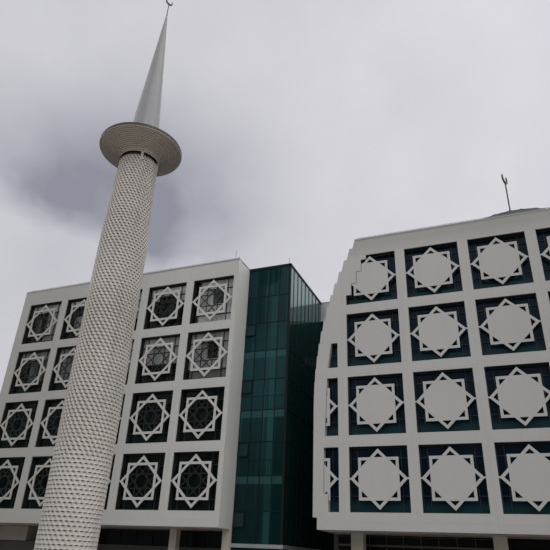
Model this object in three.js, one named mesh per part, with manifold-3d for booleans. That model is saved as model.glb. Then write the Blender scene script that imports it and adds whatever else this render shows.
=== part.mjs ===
// A modern mosque building at 1:2: two screened wings, a glass tower, a dome and a minaret.
import * as THREE from 'three';
import { mergeVertices } from 'three/addons/utils/BufferGeometryUtils.js';
import Module from 'manifold-3d';

const wasm = await Module();
wasm.setup();

// Every size below is the real one, in metres. The part is a 1:2 model, in millimetres.
// x runs along the front from the right wing's middle, y runs back from the front, z is height.
const MODEL_SCALE = 1 / 2;
const mm = (metres) => metres * 1000 * MODEL_SCALE;

// The clearance where a cut piece meets its neighbour, and how far a cutter reaches past its work.
const GAP = 0.0006;
const CUT_MARGIN = 1;

// The grid of the front, shared by both wings.
const BAY = 4.274;
const STOREY = 4.5;
const WINDOW_WIDTH = 3.61;
const WINDOW_HEIGHT = 3.79;
const FIRST_SILL = 4.5;
const FASCIA_BOTTOM = 3.52;
const PARAPET_TOP = 23.18;
const STOREYS = [1, 2, 3, 4];
const TOP_STOREY = 4;

// Thicknesses from the front to the back.
const SCREEN_DEPTH = 0.45;
const GLASS = 0.06;
const WALL = 0.3;
const DEPTH = 25.4;
const FLOOR_FRONT = SCREEN_DEPTH + GLASS;
const WALL_BACK_INSIDE = DEPTH - WALL;
const FLOOR_BACK = WALL_BACK_INSIDE - GLASS;

// Floors and roof. A floor lies behind the band under its storey's windows.
const FLOOR_THICKNESS = 0.4;
const FLOOR_BELOW_SILL = 0.232;
const FIRST_FLOOR_THICKNESS = 0.6;
const ROOF_TOP = 22.2;
const ROOF_THICKNESS = 0.35;
const GROUND_SLAB = 0.15;
const GROUND_SETBACK = 3.6;

// Left wing.
const LEFT_END = -43.15;
const LEFT_FRONT_CORNER = -21.17;
const LEFT_COLUMNS = [0, 1, 2, 3, 4];
const LAST_LEFT_COLUMN = 4;
const MIDDLE_LEFT_COLUMN = 2;
const LEFT_LAST_WINDOW = -23.35;
const END_WINDOWS_MIDDLE = 12.9;
const LEFT_POST = 0.53;
const LEFT_POST_FRONT = 1.69;
const LEFT_POST_STILES = [0, 2, 4, 5];

// Right wing: its side bulges like a dome and steps in by courses towards the top.
const HALF_WIDTH = 14.82;
const FASCIA_HALF_WIDTH = 14.55;
const SIDE_WALL = 0.45;
const FASCIA_STEP_TOP = 4.2;
const BULGE_START = 10.8;
const BULGE_RADIUS = 25.2;
const COURSE = 0.9;
const COURSES = 14;
const MARGIN_STEP = 0.38;
const MARGIN_FIRST_STEP = 18.75;
const RIGHT_COLUMNS = [1, 2, 3, 4, 5, 6];
const LAST_RIGHT_COLUMN = 7;
const MIDDLE_COLUMN = 3.5;
const EDGE_STAR_STOREYS = 2;
const RIGHT_POST = 0.75;
const RIGHT_POST_FRONT = 1.76;
const RIGHT_POSTS = [-12.55, -4.35, 4.35, 12.55];
const DOORWAY_HALF_WIDTH = 3.2;
const DOORWAY_HEIGHT = 2.8;

// Eight-point star: two equal squares, one turned by an eighth of a turn.
const STAR_DIAGONAL = 3.5;
const STAR_BAR = 0.17;
const STAR_FRONT = 0.02;
const STAR_THICKNESS = 0.06;
const STAR_JOINT = 0.03;
const LUG_WIDTH = 0.1;
const LUG_OVERLAP = 0.1;

// Glass tower and the link behind it.
const TOWER_RIGHT = -17.56;
const TOWER_FRONT = 2.04;
const TOWER_GLASS = 0.08;
const TOWER_ROOF_TOP = 20.35;
const TOWER_ROOF_THICKNESS = 0.3;
const BAND_BOTTOM = 2.45;
const BAND_TOP = 2.68;
const BAND_PROJECTION = 0.1;
const LINK_FRONT = 10.04;
const LINK_PARAPET_BOTTOM = 21.33;

// Dome.
const DOME_X = -0.2;
const DOME_BACK = 12.69;
const DOME_RADIUS = 9.8;
const DOME_CENTRE = 19.88;
const DOME_THICKNESS = 0.2;
const DOME_OPENING = 9.0;
const DOME_RING_RADIUS = 9.75;
const DOME_RING_TOP = 22.7;
const DOME_SEGMENTS = 32;
const DOME_TOP = DOME_CENTRE + DOME_RADIUS;

// Finials: a rod and a crescent, both crescents turned the same way.
const CRESCENT_TURN = THREE.MathUtils.degToRad(22);
const CRESCENT_BITE = 0.8;
const CRESCENT_BITE_RISE = 0.32;
const CRESCENT_RISE = 0.9;
const DOME_FINIAL = { rodTop: 34.5, rodRadius: 0.06, crescentRadius: 0.55, foot: 0.3 };
const MINARET_FINIAL = { rodTop: 45.25, rodRadius: 0.035, crescentRadius: 0.35, foot: 0.06 };

// Minaret: its middle, and the radius of its shaft at each height.
const MINARET_X = -25.863;
const MINARET_Y = -8.387;
const SHAFT_PROFILE = [
  [1.49, 0], [1.56, 8.65], [1.51, 20.28], [1.44, 22.74], [1.36, 25.0], [1.29, 27.22], [1.26, 28.0],
];
const SHAFT_WALL = 0.25;
const SHAFT_SEGMENTS = 32;
const BALCONY_RADIUS = 3.01;
const BALCONY_RIM_BOTTOM = 28.73;
const BALCONY_RIM_TOP = 28.85;
const BALCONY_TOP = 28.9;
const BALCONY_NECK = 1.36;
const BALCONY_SEGMENTS = 48;
const SPIRE_RADIUS = 1.2;
const SPIRE_TIP_RADIUS = 0.06;
const SPIRE_TOP = 43.89;
const SPIRE_SHEET = 0.1;
const SPIRE_SOLID_TIP = 2;

const sillOf = (storey) => FIRST_SILL + STOREY * (storey - 1);
const headOf = (storey) => sillOf(storey) + WINDOW_HEIGHT;
const floorTopOf = (storey) => (
  storey === 1 ? FASCIA_BOTTOM + FIRST_FLOOR_THICKNESS : sillOf(storey) - FLOOR_BELOW_SILL);
const floorBottomOf = (storey) => (
  storey === 1 ? FASCIA_BOTTOM : floorTopOf(storey) - FLOOR_THICKNESS);
const splitBelow = (storey) => (
  storey === 1 ? FASCIA_BOTTOM : (headOf(storey - 1) + sillOf(storey)) / 2);
const screenTopOf = (storey) => (storey === TOP_STOREY ? PARAPET_TOP : splitBelow(storey + 1));
const glassTopOf = (storey) => (storey === TOP_STOREY ? ROOF_TOP : splitBelow(storey + 1));
const leftWindowX = (column) => LEFT_LAST_WINDOW - BAY * (LAST_LEFT_COLUMN - column);
const rightWindowX = (column) => (column - MIDDLE_COLUMN) * BAY;

// Shapes: a block, an upright plate drawn in x and z, a level slab drawn in x and y,
// and a side plate drawn in y and z.
function block(x0, x1, y0, y1, z0, z1) {
  const geometry = new THREE.BoxGeometry(mm(x1 - x0), mm(y1 - y0), mm(z1 - z0));
  geometry.translate(mm((x0 + x1) / 2), mm((y0 + y1) / 2), mm((z0 + z1) / 2));
  return geometry;
}

function extrude(points, length) {
  const shape = new THREE.Shape(points.map(([a, b]) => new THREE.Vector2(mm(a), mm(b))));
  return new THREE.ExtrudeGeometry(shape, { depth: mm(length), bevelEnabled: false });
}

function plate(points, front, back) {
  const geometry = extrude(points, back - front);
  geometry.rotateX(Math.PI / 2);
  geometry.translate(0, mm(back), 0);
  return geometry;
}

function slab(points, bottom, top) {
  const geometry = extrude(points, top - bottom);
  geometry.translate(0, 0, mm(bottom));
  return geometry;
}

function sidePlate(points, left, right) {
  const geometry = extrude(points, right - left);
  const [x, y, z] = [[1, 0, 0], [0, 1, 0], [0, 0, 1]].map((axis) => new THREE.Vector3(...axis));
  geometry.applyMatrix4(new THREE.Matrix4().makeBasis(y, z, x));
  geometry.translate(mm(left), 0, 0);
  return geometry;
}

function lathe(profile, segments) {
  const points = profile.map(([radius, height]) => new THREE.Vector2(mm(radius), mm(height)));
  const geometry = new THREE.LatheGeometry(points, segments);
  geometry.rotateX(Math.PI / 2);
  return geometry;
}

const rectangle = (x0, x1, z0, z1) => [[x0, z0], [x1, z0], [x1, z1], [x0, z1]];
const mirrored = (points) => points.map(([x, z]) => [-x, z]).reverse();

// Solids for joining and cutting, and back to a geometry. Corners are snapped to a fine
// grid first, so that equal corners meet exactly.
const SNAPS_PER_MM = 64;
const MERGE_WITHIN = 0.001;

function solid(geometry) {
  const bare = geometry.clone();
  bare.deleteAttribute('normal');
  bare.deleteAttribute('uv');
  const { array } = bare.attributes.position;
  array.forEach((value, index) => { array[index] = Math.round(value * SNAPS_PER_MM) / SNAPS_PER_MM; });
  const merged = mergeVertices(bare, MERGE_WITHIN);
  const mesh = new wasm.Mesh({
    numProp: 3,
    vertProperties: new Float32Array(merged.attributes.position.array),
    triVerts: new Uint32Array(merged.index.array),
  });
  return new wasm.Manifold(mesh);
}

function geometryOf(manifold) {
  const mesh = manifold.getMesh();
  const geometry = new THREE.BufferGeometry();
  geometry.setAttribute('position', new THREE.BufferAttribute(new Float32Array(mesh.vertProperties), 3));
  geometry.setIndex(new THREE.BufferAttribute(new Uint32Array(mesh.triVerts), 1));
  const flat = geometry.toNonIndexed();
  flat.computeVertexNormals();
  return flat;
}

const union = (solids) => solids.reduce((joined, next) => joined.add(next));

const building = new THREE.Group();

function addPiece(name, geometry, finish, parent = building) {
  const mesh = new THREE.Mesh(geometry, new THREE.MeshStandardMaterial(finish));
  mesh.name = name;
  parent.add(mesh);
}

const FINISH = {
  whitePanel: { color: 0xc9c6c3, roughness: 0.6, metalness: 0 },
  concrete: { color: 0xa9a7a3, roughness: 0.85, metalness: 0 },
  greenGlass: { color: 0x24383a, roughness: 0.1, metalness: 0 },
  tealGlass: { color: 0x2c5a55, roughness: 0.1, metalness: 0 },
  lightBand: { color: 0xb5bab8, roughness: 0.5, metalness: 0.2 },
  domeSkin: { color: 0x8d9093, roughness: 0.5, metalness: 0.3 },
  darkMetal: { color: 0x2a2c2e, roughness: 0.5, metalness: 0.6 },
  shaftSkin: { color: 0xd6d4d0, roughness: 0.6, metalness: 0 },
  balconySkin: { color: 0x9a928a, roughness: 0.6, metalness: 0 },
};

// The stepped edge of the right wing, from the bottom up, set in by some depth.
const halfWidthAt = (z) => {
  const rise = Math.max(0, z - BULGE_START);
  return HALF_WIDTH - BULGE_RADIUS + Math.sqrt(BULGE_RADIUS ** 2 - rise ** 2);
};

function edge(inset) {
  const points = [
    [FASCIA_HALF_WIDTH, FASCIA_BOTTOM], [FASCIA_HALF_WIDTH, FASCIA_STEP_TOP],
    [HALF_WIDTH, FASCIA_STEP_TOP],
  ];
  for (let course = 0; course < COURSES; course += 1) {
    const bottom = BULGE_START + COURSE * course;
    const top = Math.min(bottom + COURSE, PARAPET_TOP);
    points.push([halfWidthAt(bottom), bottom]);
    points.push([(halfWidthAt(bottom) + halfWidthAt(top)) / 2, top]);
  }
  return points.map(([x, z]) => [x - inset, z]);
}

// The west or east half of the right wing's outline, and a band along its edge.
function half(west, inset, front, back) {
  const points = [...edge(inset), [0, PARAPET_TOP], [0, FASCIA_BOTTOM]];
  return solid(plate(west ? mirrored(points) : points, front, back));
}
const whole = (inset, front, back) => (
  half(true, inset, front, back).add(half(false, inset, front, back)));
const band = (west, outer, inner, front, back) => (
  half(west, outer, front, back).subtract(half(west, inner, front - CUT_MARGIN, back + CUT_MARGIN)));

// The openings of the right wing's columns. Columns 0 and 7, and the top corners of 1 and 6,
// are cut short by the margin that follows the bulging edge. This is the cut edge of column 0
// in each storey, from the head down.
const CUT_EDGES = {
  1: [[-14.13, headOf(1)], [-14.13, 5.52], [-13.85, 5.52], [-13.85, sillOf(1)]],
  2: [[-13.9, headOf(2)], [-14.07, sillOf(2)]],
  3: [[-13.61, 15.24], [-13.86, sillOf(3)]],
};

function westOpening(storey, column) {
  const x = rightWindowX(column);
  const [left, right] = [x - WINDOW_WIDTH / 2, x + WINDOW_WIDTH / 2];
  const [sill, head] = [sillOf(storey), headOf(storey)];
  if (column === 1 && storey === TOP_STOREY) {
    const steps = [0, 1, 2, 3].map((step) => {
      const bottom = MARGIN_FIRST_STEP + COURSE * step;
      const outer = left + MARGIN_STEP * step;
      return [[outer, bottom], [outer + MARGIN_STEP, bottom]];
    });
    const cut = left + MARGIN_STEP * steps.length;
    return [
      [left, sill], [right, sill], [right, head], [cut, head],
      ...steps.reverse().flatMap(([a, b]) => [b, a]),
    ];
  }
  if (column > 0) return rectangle(left, right, sill, head);
  const cutEdge = CUT_EDGES[storey];
  return [[right, sill], [right, cutEdge[0][1]], ...cutEdge];
}

function rightOpening(storey, column) {
  const fromWest = Math.min(column, LAST_RIGHT_COLUMN - column);
  if (fromWest === 0 && storey === TOP_STOREY) return null;
  const opening = westOpening(storey, fromWest);
  return column === fromWest ? opening : mirrored(opening);
}

// One star in the plane of the front, open as two square frames or filled but for its tips.
function star(x, z, filled) {
  const side = STAR_DIAGONAL / Math.SQRT2;
  const squareSolid = (width, turned) => {
    const reach = turned ? width / Math.SQRT2 : width / 2;
    const points = turned
      ? [[x - reach, z], [x, z - reach], [x + reach, z], [x, z + reach]]
      : rectangle(x - reach, x + reach, z - reach, z + reach);
    return solid(plate(points, STAR_FRONT, STAR_FRONT + STAR_THICKNESS));
  };
  const upright = squareSolid(side, false);
  const turned = squareSolid(side, true);
  const insideUpright = squareSolid(side - 2 * STAR_BAR, false);
  const insideTurned = squareSolid(side - 2 * STAR_BAR, true);
  if (!filled) return upright.subtract(insideUpright).add(turned.subtract(insideTurned));
  const tips = insideUpright.subtract(turned).add(insideTurned.subtract(upright));
  return upright.add(turned).subtract(tips);
}

// The two lugs that hold a star's side tips in its window.
function lugs(x, z) {
  const inner = STAR_DIAGONAL / 2 - LUG_OVERLAP;
  const outer = WINDOW_WIDTH / 2 + LUG_OVERLAP;
  return [[-outer, -inner], [inner, outer]].map(([from, to]) => solid(block(
    x + from, x + to, STAR_FRONT, STAR_FRONT + STAR_THICKNESS, z - LUG_WIDTH / 2, z + LUG_WIDTH / 2)));
}

const starHeight = (storey) => (sillOf(storey) + headOf(storey)) / 2;

// Left wing: one screen and one sheet of glass for each storey.
for (const storey of STOREYS) {
  const [bottom, top] = [splitBelow(storey), screenTopOf(storey)];
  const panel = solid(block(LEFT_END, LEFT_FRONT_CORNER, 0, SCREEN_DEPTH, bottom, top));
  const windows = LEFT_COLUMNS.map((column) => {
    const x = leftWindowX(column);
    const reach = WINDOW_WIDTH / 2;
    return solid(block(
      x - reach, x + reach, -CUT_MARGIN, CUT_MARGIN, sillOf(storey), headOf(storey)));
  });
  const stars = LEFT_COLUMNS.flatMap((column) => {
    const x = leftWindowX(column);
    return [star(x, starHeight(storey), false), ...lugs(x, starHeight(storey))];
  });
  const screen = union([panel.subtract(union(windows)), ...stars]);
  addPiece(`left_screen_${storey}`, geometryOf(screen), FINISH.whitePanel);
  const sheet = block(
    LEFT_END + WALL, LEFT_FRONT_CORNER - WALL, SCREEN_DEPTH, FLOOR_FRONT, bottom, glassTopOf(storey));
  addPiece(`left_glazing_${storey}`, sheet, FINISH.greenGlass);
}

// Left wing's walls: the one beside the tower stands on the recessed ground floor front.
const innerWall = sidePlate([
  [SCREEN_DEPTH, FASCIA_BOTTOM], [GROUND_SETBACK, FASCIA_BOTTOM], [GROUND_SETBACK, 0],
  [LINK_FRONT, 0], [LINK_FRONT, PARAPET_TOP], [SCREEN_DEPTH, PARAPET_TOP],
], LEFT_FRONT_CORNER - WALL, LEFT_FRONT_CORNER);
addPiece('left_inner_wall', innerWall, FINISH.whitePanel);

const endWindows = STOREYS.flatMap((storey) => LEFT_COLUMNS.map((column) => {
  const y = END_WINDOWS_MIDDLE + BAY * (column - MIDDLE_LEFT_COLUMN);
  const reach = WINDOW_WIDTH / 2;
  return solid(block(
    LEFT_END - CUT_MARGIN, LEFT_END + CUT_MARGIN, y - reach, y + reach,
    sillOf(storey), headOf(storey)));
}));
const endWall = solid(block(
  LEFT_END, LEFT_END + WALL, SCREEN_DEPTH, WALL_BACK_INSIDE, FASCIA_BOTTOM, PARAPET_TOP));
addPiece('left_end_wall', geometryOf(endWall.subtract(union(endWindows))), FINISH.whitePanel);

for (const storey of STOREYS) {
  const inside = LEFT_END + WALL;
  const sheet = block(
    inside, inside + GLASS, FLOOR_FRONT, FLOOR_BACK, splitBelow(storey), glassTopOf(storey));
  addPiece(`end_glazing_${storey}`, sheet, FINISH.greenGlass);
}

// Right wing: screens and glass, cut to the bulging outline.
const outline = whole(0, 0, SCREEN_DEPTH);
const glassOutline = whole(SIDE_WALL + GAP, SCREEN_DEPTH, FLOOR_FRONT);
const level = (bottom, top) => solid(block(
  -HALF_WIDTH - CUT_MARGIN, HALF_WIDTH + CUT_MARGIN, -CUT_MARGIN, CUT_MARGIN, bottom, top));
const cutter = (points) => solid(plate(points, -CUT_MARGIN, CUT_MARGIN));

for (const storey of STOREYS) {
  const [bottom, top] = [splitBelow(storey), screenTopOf(storey)];
  const panel = outline.intersect(level(bottom, top));
  const columns = [0, ...RIGHT_COLUMNS, LAST_RIGHT_COLUMN].filter(
    (column) => rightOpening(storey, column));
  const windows = columns.map((column) => cutter(rightOpening(storey, column)));
  const starColumns = columns.filter(
    (column) => storey <= EDGE_STAR_STOREYS || RIGHT_COLUMNS.includes(column));
  const stars = starColumns.flatMap((column) => {
    const x = rightWindowX(column);
    const inwards = Math.sign(-x) * STAR_JOINT;
    const clear = rightOpening(storey, column).map(([a, b]) => [a + inwards, b - STAR_JOINT]);
    const trimmed = star(x, starHeight(storey), true).intersect(cutter(clear));
    const held = lugs(x, starHeight(storey)).filter((lug, side) => {
      const outerSide = side === (x < 0 ? 0 : 1);
      return !(outerSide && Math.abs(x) > HALF_WIDTH - WINDOW_WIDTH);
    });
    return [trimmed, ...held];
  });
  const screen = union([panel.subtract(union(windows)), ...stars]);
  addPiece(`right_screen_${storey}`, geometryOf(screen), FINISH.whitePanel);
  const sheet = glassOutline.intersect(level(bottom, glassTopOf(storey)));
  addPiece(`right_glazing_${storey}`, geometryOf(sheet), FINISH.greenGlass);
}

// Right wing's bulging side walls. The west one ends where the link begins.
const LINK_WALL_BACK = LINK_FRONT + WALL;
const westWall = band(true, 0, SIDE_WALL, SCREEN_DEPTH, LINK_WALL_BACK);
const eastWall = band(false, 0, SIDE_WALL, SCREEN_DEPTH, WALL_BACK_INSIDE);
addPiece('right_west_wall', geometryOf(westWall), FINISH.whitePanel);
addPiece('right_east_wall', geometryOf(eastWall), FINISH.whitePanel);

// What the side walls leave for the floors: cut away outside them, with a fine gap.
const BEYOND = -3;
const LINK_GLASS_BACK = LINK_FRONT + TOWER_GLASS;
const outsideWalls = union([
  band(true, BEYOND, SIDE_WALL + GAP, -CUT_MARGIN, LINK_GLASS_BACK),
  band(true, -GAP, SIDE_WALL + GAP, LINK_GLASS_BACK - GAP, LINK_WALL_BACK + GAP),
  band(false, BEYOND, SIDE_WALL + GAP, -CUT_MARGIN, DEPTH + CUT_MARGIN),
]);

// Floors and roof, one level each across both wings, the tower and the link.
const TOWER_INSIDE = TOWER_RIGHT - TOWER_GLASS;
const TOWER_INSIDE_FRONT = TOWER_FRONT + TOWER_GLASS;
const FLOOR_LEFT = LEFT_END + WALL + GLASS;
const hallPlan = [
  [-HALF_WIDTH, FLOOR_FRONT], [HALF_WIDTH, FLOOR_FRONT], [HALF_WIDTH, FLOOR_BACK],
  [FLOOR_LEFT, FLOOR_BACK],
];
const leftPlan = [
  [FLOOR_LEFT, FLOOR_FRONT], [LEFT_FRONT_CORNER - WALL, FLOOR_FRONT],
  [LEFT_FRONT_CORNER - WALL, LINK_FRONT], [LEFT_FRONT_CORNER, LINK_FRONT],
];
const towerPlan = [
  [LEFT_FRONT_CORNER, TOWER_INSIDE_FRONT], [TOWER_INSIDE, TOWER_INSIDE_FRONT],
  [TOWER_INSIDE, LINK_GLASS_BACK],
];
const floorPlan = [...leftPlan, ...towerPlan, [-HALF_WIDTH, LINK_GLASS_BACK], ...hallPlan];
const roofPlan = [
  ...leftPlan, [LEFT_FRONT_CORNER, LINK_WALL_BACK], [-HALF_WIDTH, LINK_WALL_BACK], ...hallPlan,
];

const leftPosts = LEFT_POST_STILES.map((number) => {
  const stile = leftWindowX(number) - BAY / 2;
  const right = Math.min(stile + LEFT_POST / 2, LEFT_FRONT_CORNER);
  const back = LEFT_POST_FRONT + LEFT_POST;
  const post = solid(block(right - LEFT_POST, right, LEFT_POST_FRONT, back, 0, FASCIA_BOTTOM));
  const neckLeft = Math.max(right - LEFT_POST, FLOOR_LEFT);
  const neckRight = Math.min(right, LEFT_FRONT_CORNER - WALL);
  const neck = solid(block(
    neckLeft, neckRight, LEFT_POST_FRONT, back, FASCIA_BOTTOM - WALL, FASCIA_BOTTOM + WALL));
  return post.add(neck);
});
const rightPosts = RIGHT_POSTS.map((x) => {
  const reach = RIGHT_POST / 2;
  const back = RIGHT_POST_FRONT + RIGHT_POST;
  return solid(block(x - reach, x + reach, RIGHT_POST_FRONT, back, 0, FASCIA_BOTTOM + WALL));
});

for (const storey of STOREYS) {
  const plain = solid(slab(floorPlan, floorBottomOf(storey), floorTopOf(storey)));
  const clear = plain.subtract(outsideWalls);
  const floor = storey === 1 ? union([clear, ...leftPosts, ...rightPosts]) : clear;
  addPiece(`floor_${storey}`, geometryOf(floor), FINISH.concrete);
}

const domeHole = new THREE.CylinderGeometry(
  mm(DOME_OPENING), mm(DOME_OPENING), mm(4 * ROOF_THICKNESS), DOME_SEGMENTS);
domeHole.rotateX(Math.PI / 2);
domeHole.translate(mm(DOME_X), mm(DOME_BACK), mm(ROOF_TOP));
const roofLevel = solid(slab(roofPlan, ROOF_TOP - ROOF_THICKNESS, ROOF_TOP)).subtract(outsideWalls);
const besideHall = band(true, BEYOND, 0, -CUT_MARGIN, LINK_WALL_BACK);
const roof = roofLevel.subtract(besideHall).subtract(solid(domeHole));
addPiece('roof', geometryOf(roof), FINISH.concrete);

// Ground floor: a slab, walls round the sides and back, and glass set back under the wings.
const GROUND_LEFT = LEFT_END + WALL;
const GROUND_RIGHT = FASCIA_HALF_WIDTH - WALL;
const GROUND_FRONT = GROUND_SETBACK + GLASS;
const groundPlan = [
  [GROUND_LEFT + WALL, GROUND_FRONT], [LEFT_FRONT_CORNER - WALL, GROUND_FRONT],
  [LEFT_FRONT_CORNER - WALL, LINK_FRONT], [LEFT_FRONT_CORNER, LINK_FRONT], ...towerPlan,
  [-FASCIA_HALF_WIDTH, LINK_GLASS_BACK], [-FASCIA_HALF_WIDTH, LINK_WALL_BACK],
  [-GROUND_RIGHT, LINK_WALL_BACK], [-GROUND_RIGHT, GROUND_FRONT], [GROUND_RIGHT, GROUND_FRONT],
  [GROUND_RIGHT, WALL_BACK_INSIDE], [GROUND_LEFT + WALL, WALL_BACK_INSIDE],
];
addPiece('ground_floor', slab(groundPlan, 0, GROUND_SLAB), FINISH.concrete);
addPiece('ground_walls', slab([
  [GROUND_LEFT, GROUND_SETBACK], [GROUND_LEFT + WALL, GROUND_SETBACK],
  [GROUND_LEFT + WALL, WALL_BACK_INSIDE], [GROUND_RIGHT, WALL_BACK_INSIDE],
  [GROUND_RIGHT, GROUND_SETBACK], [FASCIA_HALF_WIDTH, GROUND_SETBACK],
  [FASCIA_HALF_WIDTH, DEPTH], [GROUND_LEFT, DEPTH],
], 0, FASCIA_BOTTOM), FINISH.concrete);
addPiece('ground_west_wall', block(
  -FASCIA_HALF_WIDTH, -GROUND_RIGHT, GROUND_SETBACK, LINK_WALL_BACK, 0, FASCIA_BOTTOM), FINISH.concrete);
addPiece('left_ground_glass', block(
  GROUND_LEFT + WALL, LEFT_FRONT_CORNER - WALL, GROUND_SETBACK, GROUND_FRONT, 0, FASCIA_BOTTOM,
), FINISH.greenGlass);
addPiece('right_ground_glass', plate([
  [-GROUND_RIGHT, 0], [-DOORWAY_HALF_WIDTH, 0], [-DOORWAY_HALF_WIDTH, DOORWAY_HEIGHT],
  [DOORWAY_HALF_WIDTH, DOORWAY_HEIGHT], [DOORWAY_HALF_WIDTH, 0], [GROUND_RIGHT, 0],
  [GROUND_RIGHT, FASCIA_BOTTOM], [-GROUND_RIGHT, FASCIA_BOTTOM],
], GROUND_SETBACK, GROUND_FRONT), FINISH.darkMetal);

// Back: walls with the same grid of windows, and one sheet of glass for each storey. The two
// columns beside the left wing keep plain windows, because no margin cuts them there.
const backWindow = (points) => solid(plate(points, DEPTH - CUT_MARGIN, DEPTH + CUT_MARGIN));
const plainWindow = (x, storey) => (
  rectangle(x - WINDOW_WIDTH / 2, x + WINDOW_WIDTH / 2, sillOf(storey), headOf(storey)));
const backLeftWindows = STOREYS.flatMap((storey) => LEFT_COLUMNS.map((column) => (
  backWindow(plainWindow(leftWindowX(column), storey)))));
const backRightWindows = STOREYS.flatMap((storey) => [0, ...RIGHT_COLUMNS].map((column) => {
  const plain = plainWindow(rightWindowX(column), storey);
  return backWindow(column < 2 ? plain : rightOpening(storey, column));
}));
const backLeft = solid(block(
  LEFT_END, TOWER_RIGHT, WALL_BACK_INSIDE, DEPTH, FASCIA_BOTTOM, PARAPET_TOP));
addPiece('back_wall_left', geometryOf(backLeft.subtract(union(backLeftWindows))), FINISH.whitePanel);
const backRight = solid(plate(
  [[TOWER_RIGHT, FASCIA_BOTTOM], ...edge(0), [TOWER_RIGHT, PARAPET_TOP]], WALL_BACK_INSIDE, DEPTH));
addPiece('back_wall_right', geometryOf(backRight.subtract(union(backRightWindows))), FINISH.whitePanel);

for (const storey of STOREYS) {
  const sheet = solid(block(
    LEFT_END + WALL, HALF_WIDTH, FLOOR_BACK, WALL_BACK_INSIDE, splitBelow(storey), glassTopOf(storey)));
  addPiece(`back_glazing_${storey}`, geometryOf(sheet.subtract(outsideWalls)), FINISH.greenGlass);
}

// Glass tower: one curtain wall round its corner, a roof inside it and a light band.
const cornerPlan = (front, right, back, thickness) => [
  [LEFT_FRONT_CORNER, front], [right, front], [right, back], [right - thickness, back],
  [right - thickness, front + thickness], [LEFT_FRONT_CORNER, front + thickness],
];
const towerPlate = cornerPlan(TOWER_FRONT, TOWER_RIGHT, LINK_FRONT, TOWER_GLASS);
addPiece('tower_glass', slab(towerPlate, 0, PARAPET_TOP), FINISH.tealGlass);
addPiece('tower_roof', block(
  LEFT_FRONT_CORNER, TOWER_INSIDE, TOWER_INSIDE_FRONT, LINK_FRONT,
  TOWER_ROOF_TOP - TOWER_ROOF_THICKNESS, TOWER_ROOF_TOP,
), FINISH.concrete);
const bandPlan = cornerPlan(
  TOWER_FRONT - BAND_PROJECTION, TOWER_RIGHT + BAND_PROJECTION, LINK_FRONT, BAND_PROJECTION);
addPiece('tower_band', slab(bandPlan, BAND_BOTTOM, BAND_TOP), FINISH.lightBand);

// Link: glass under a light parapet, which also closes the space over the tower's roof.
const hallSide = half(true, -GAP, -CUT_MARGIN, DEPTH);
const INSIDE_HALL = -CUT_MARGIN;
const linkGlass = solid(plate([
  [TOWER_RIGHT, 0], [-FASCIA_HALF_WIDTH - GAP, 0], [-FASCIA_HALF_WIDTH - GAP, FASCIA_BOTTOM],
  [INSIDE_HALL, FASCIA_BOTTOM], [INSIDE_HALL, LINK_PARAPET_BOTTOM],
  [TOWER_RIGHT, LINK_PARAPET_BOTTOM],
], LINK_FRONT, LINK_GLASS_BACK)).subtract(hallSide);
addPiece('link_glass', geometryOf(linkGlass), FINISH.tealGlass);
const linkParapet = solid(plate([
  [LEFT_FRONT_CORNER, TOWER_ROOF_TOP], [TOWER_INSIDE, TOWER_ROOF_TOP],
  [TOWER_INSIDE, LINK_PARAPET_BOTTOM], [INSIDE_HALL, LINK_PARAPET_BOTTOM],
  [INSIDE_HALL, PARAPET_TOP], [LEFT_FRONT_CORNER, PARAPET_TOP],
], LINK_FRONT, LINK_WALL_BACK)).subtract(hallSide);
addPiece('link_parapet', geometryOf(linkParapet), FINISH.lightBand);

// A crescent with its horns up, on a rod that widens at its foot.
const ROD_SIDES = 10;
const CRESCENT_SIDES = 24;

function finial(bottom, { rodTop, rodRadius, crescentRadius, foot }) {
  const rod = solid(lathe([
    [0, bottom], [foot, bottom], [rodRadius, bottom + foot], [rodRadius, rodTop], [0, rodTop],
  ], ROD_SIDES));
  const disc = (radius, height, width) => {
    const cylinder = new THREE.CylinderGeometry(mm(radius), mm(radius), mm(width), CRESCENT_SIDES);
    cylinder.rotateZ(Math.PI / 2);
    cylinder.translate(0, 0, mm(height));
    return solid(cylinder);
  };
  const middle = rodTop + crescentRadius * CRESCENT_RISE;
  const outer = disc(crescentRadius, middle, rodRadius * 2);
  const bite = disc(
    crescentRadius * CRESCENT_BITE, middle + crescentRadius * CRESCENT_BITE_RISE, rodRadius * 4);
  const geometry = geometryOf(rod.add(outer.subtract(bite)));
  geometry.rotateZ(-CRESCENT_TURN);
  return geometry;
}

// Dome: a ring on the roof, a thin shell open below, and its finial.
const dome = new THREE.Group();
dome.position.set(mm(DOME_X), mm(DOME_BACK), 0);
building.add(dome);
addPiece('dome_ring', lathe([
  [DOME_OPENING, ROOF_TOP], [DOME_RING_RADIUS, ROOF_TOP], [DOME_RING_RADIUS, DOME_RING_TOP],
  [DOME_OPENING, DOME_RING_TOP], [DOME_OPENING, ROOF_TOP],
], DOME_SEGMENTS), FINISH.concrete, dome);

const OUTER_ARC_STEPS = 7;
const INNER_ARC_STEPS = 5;

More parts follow.
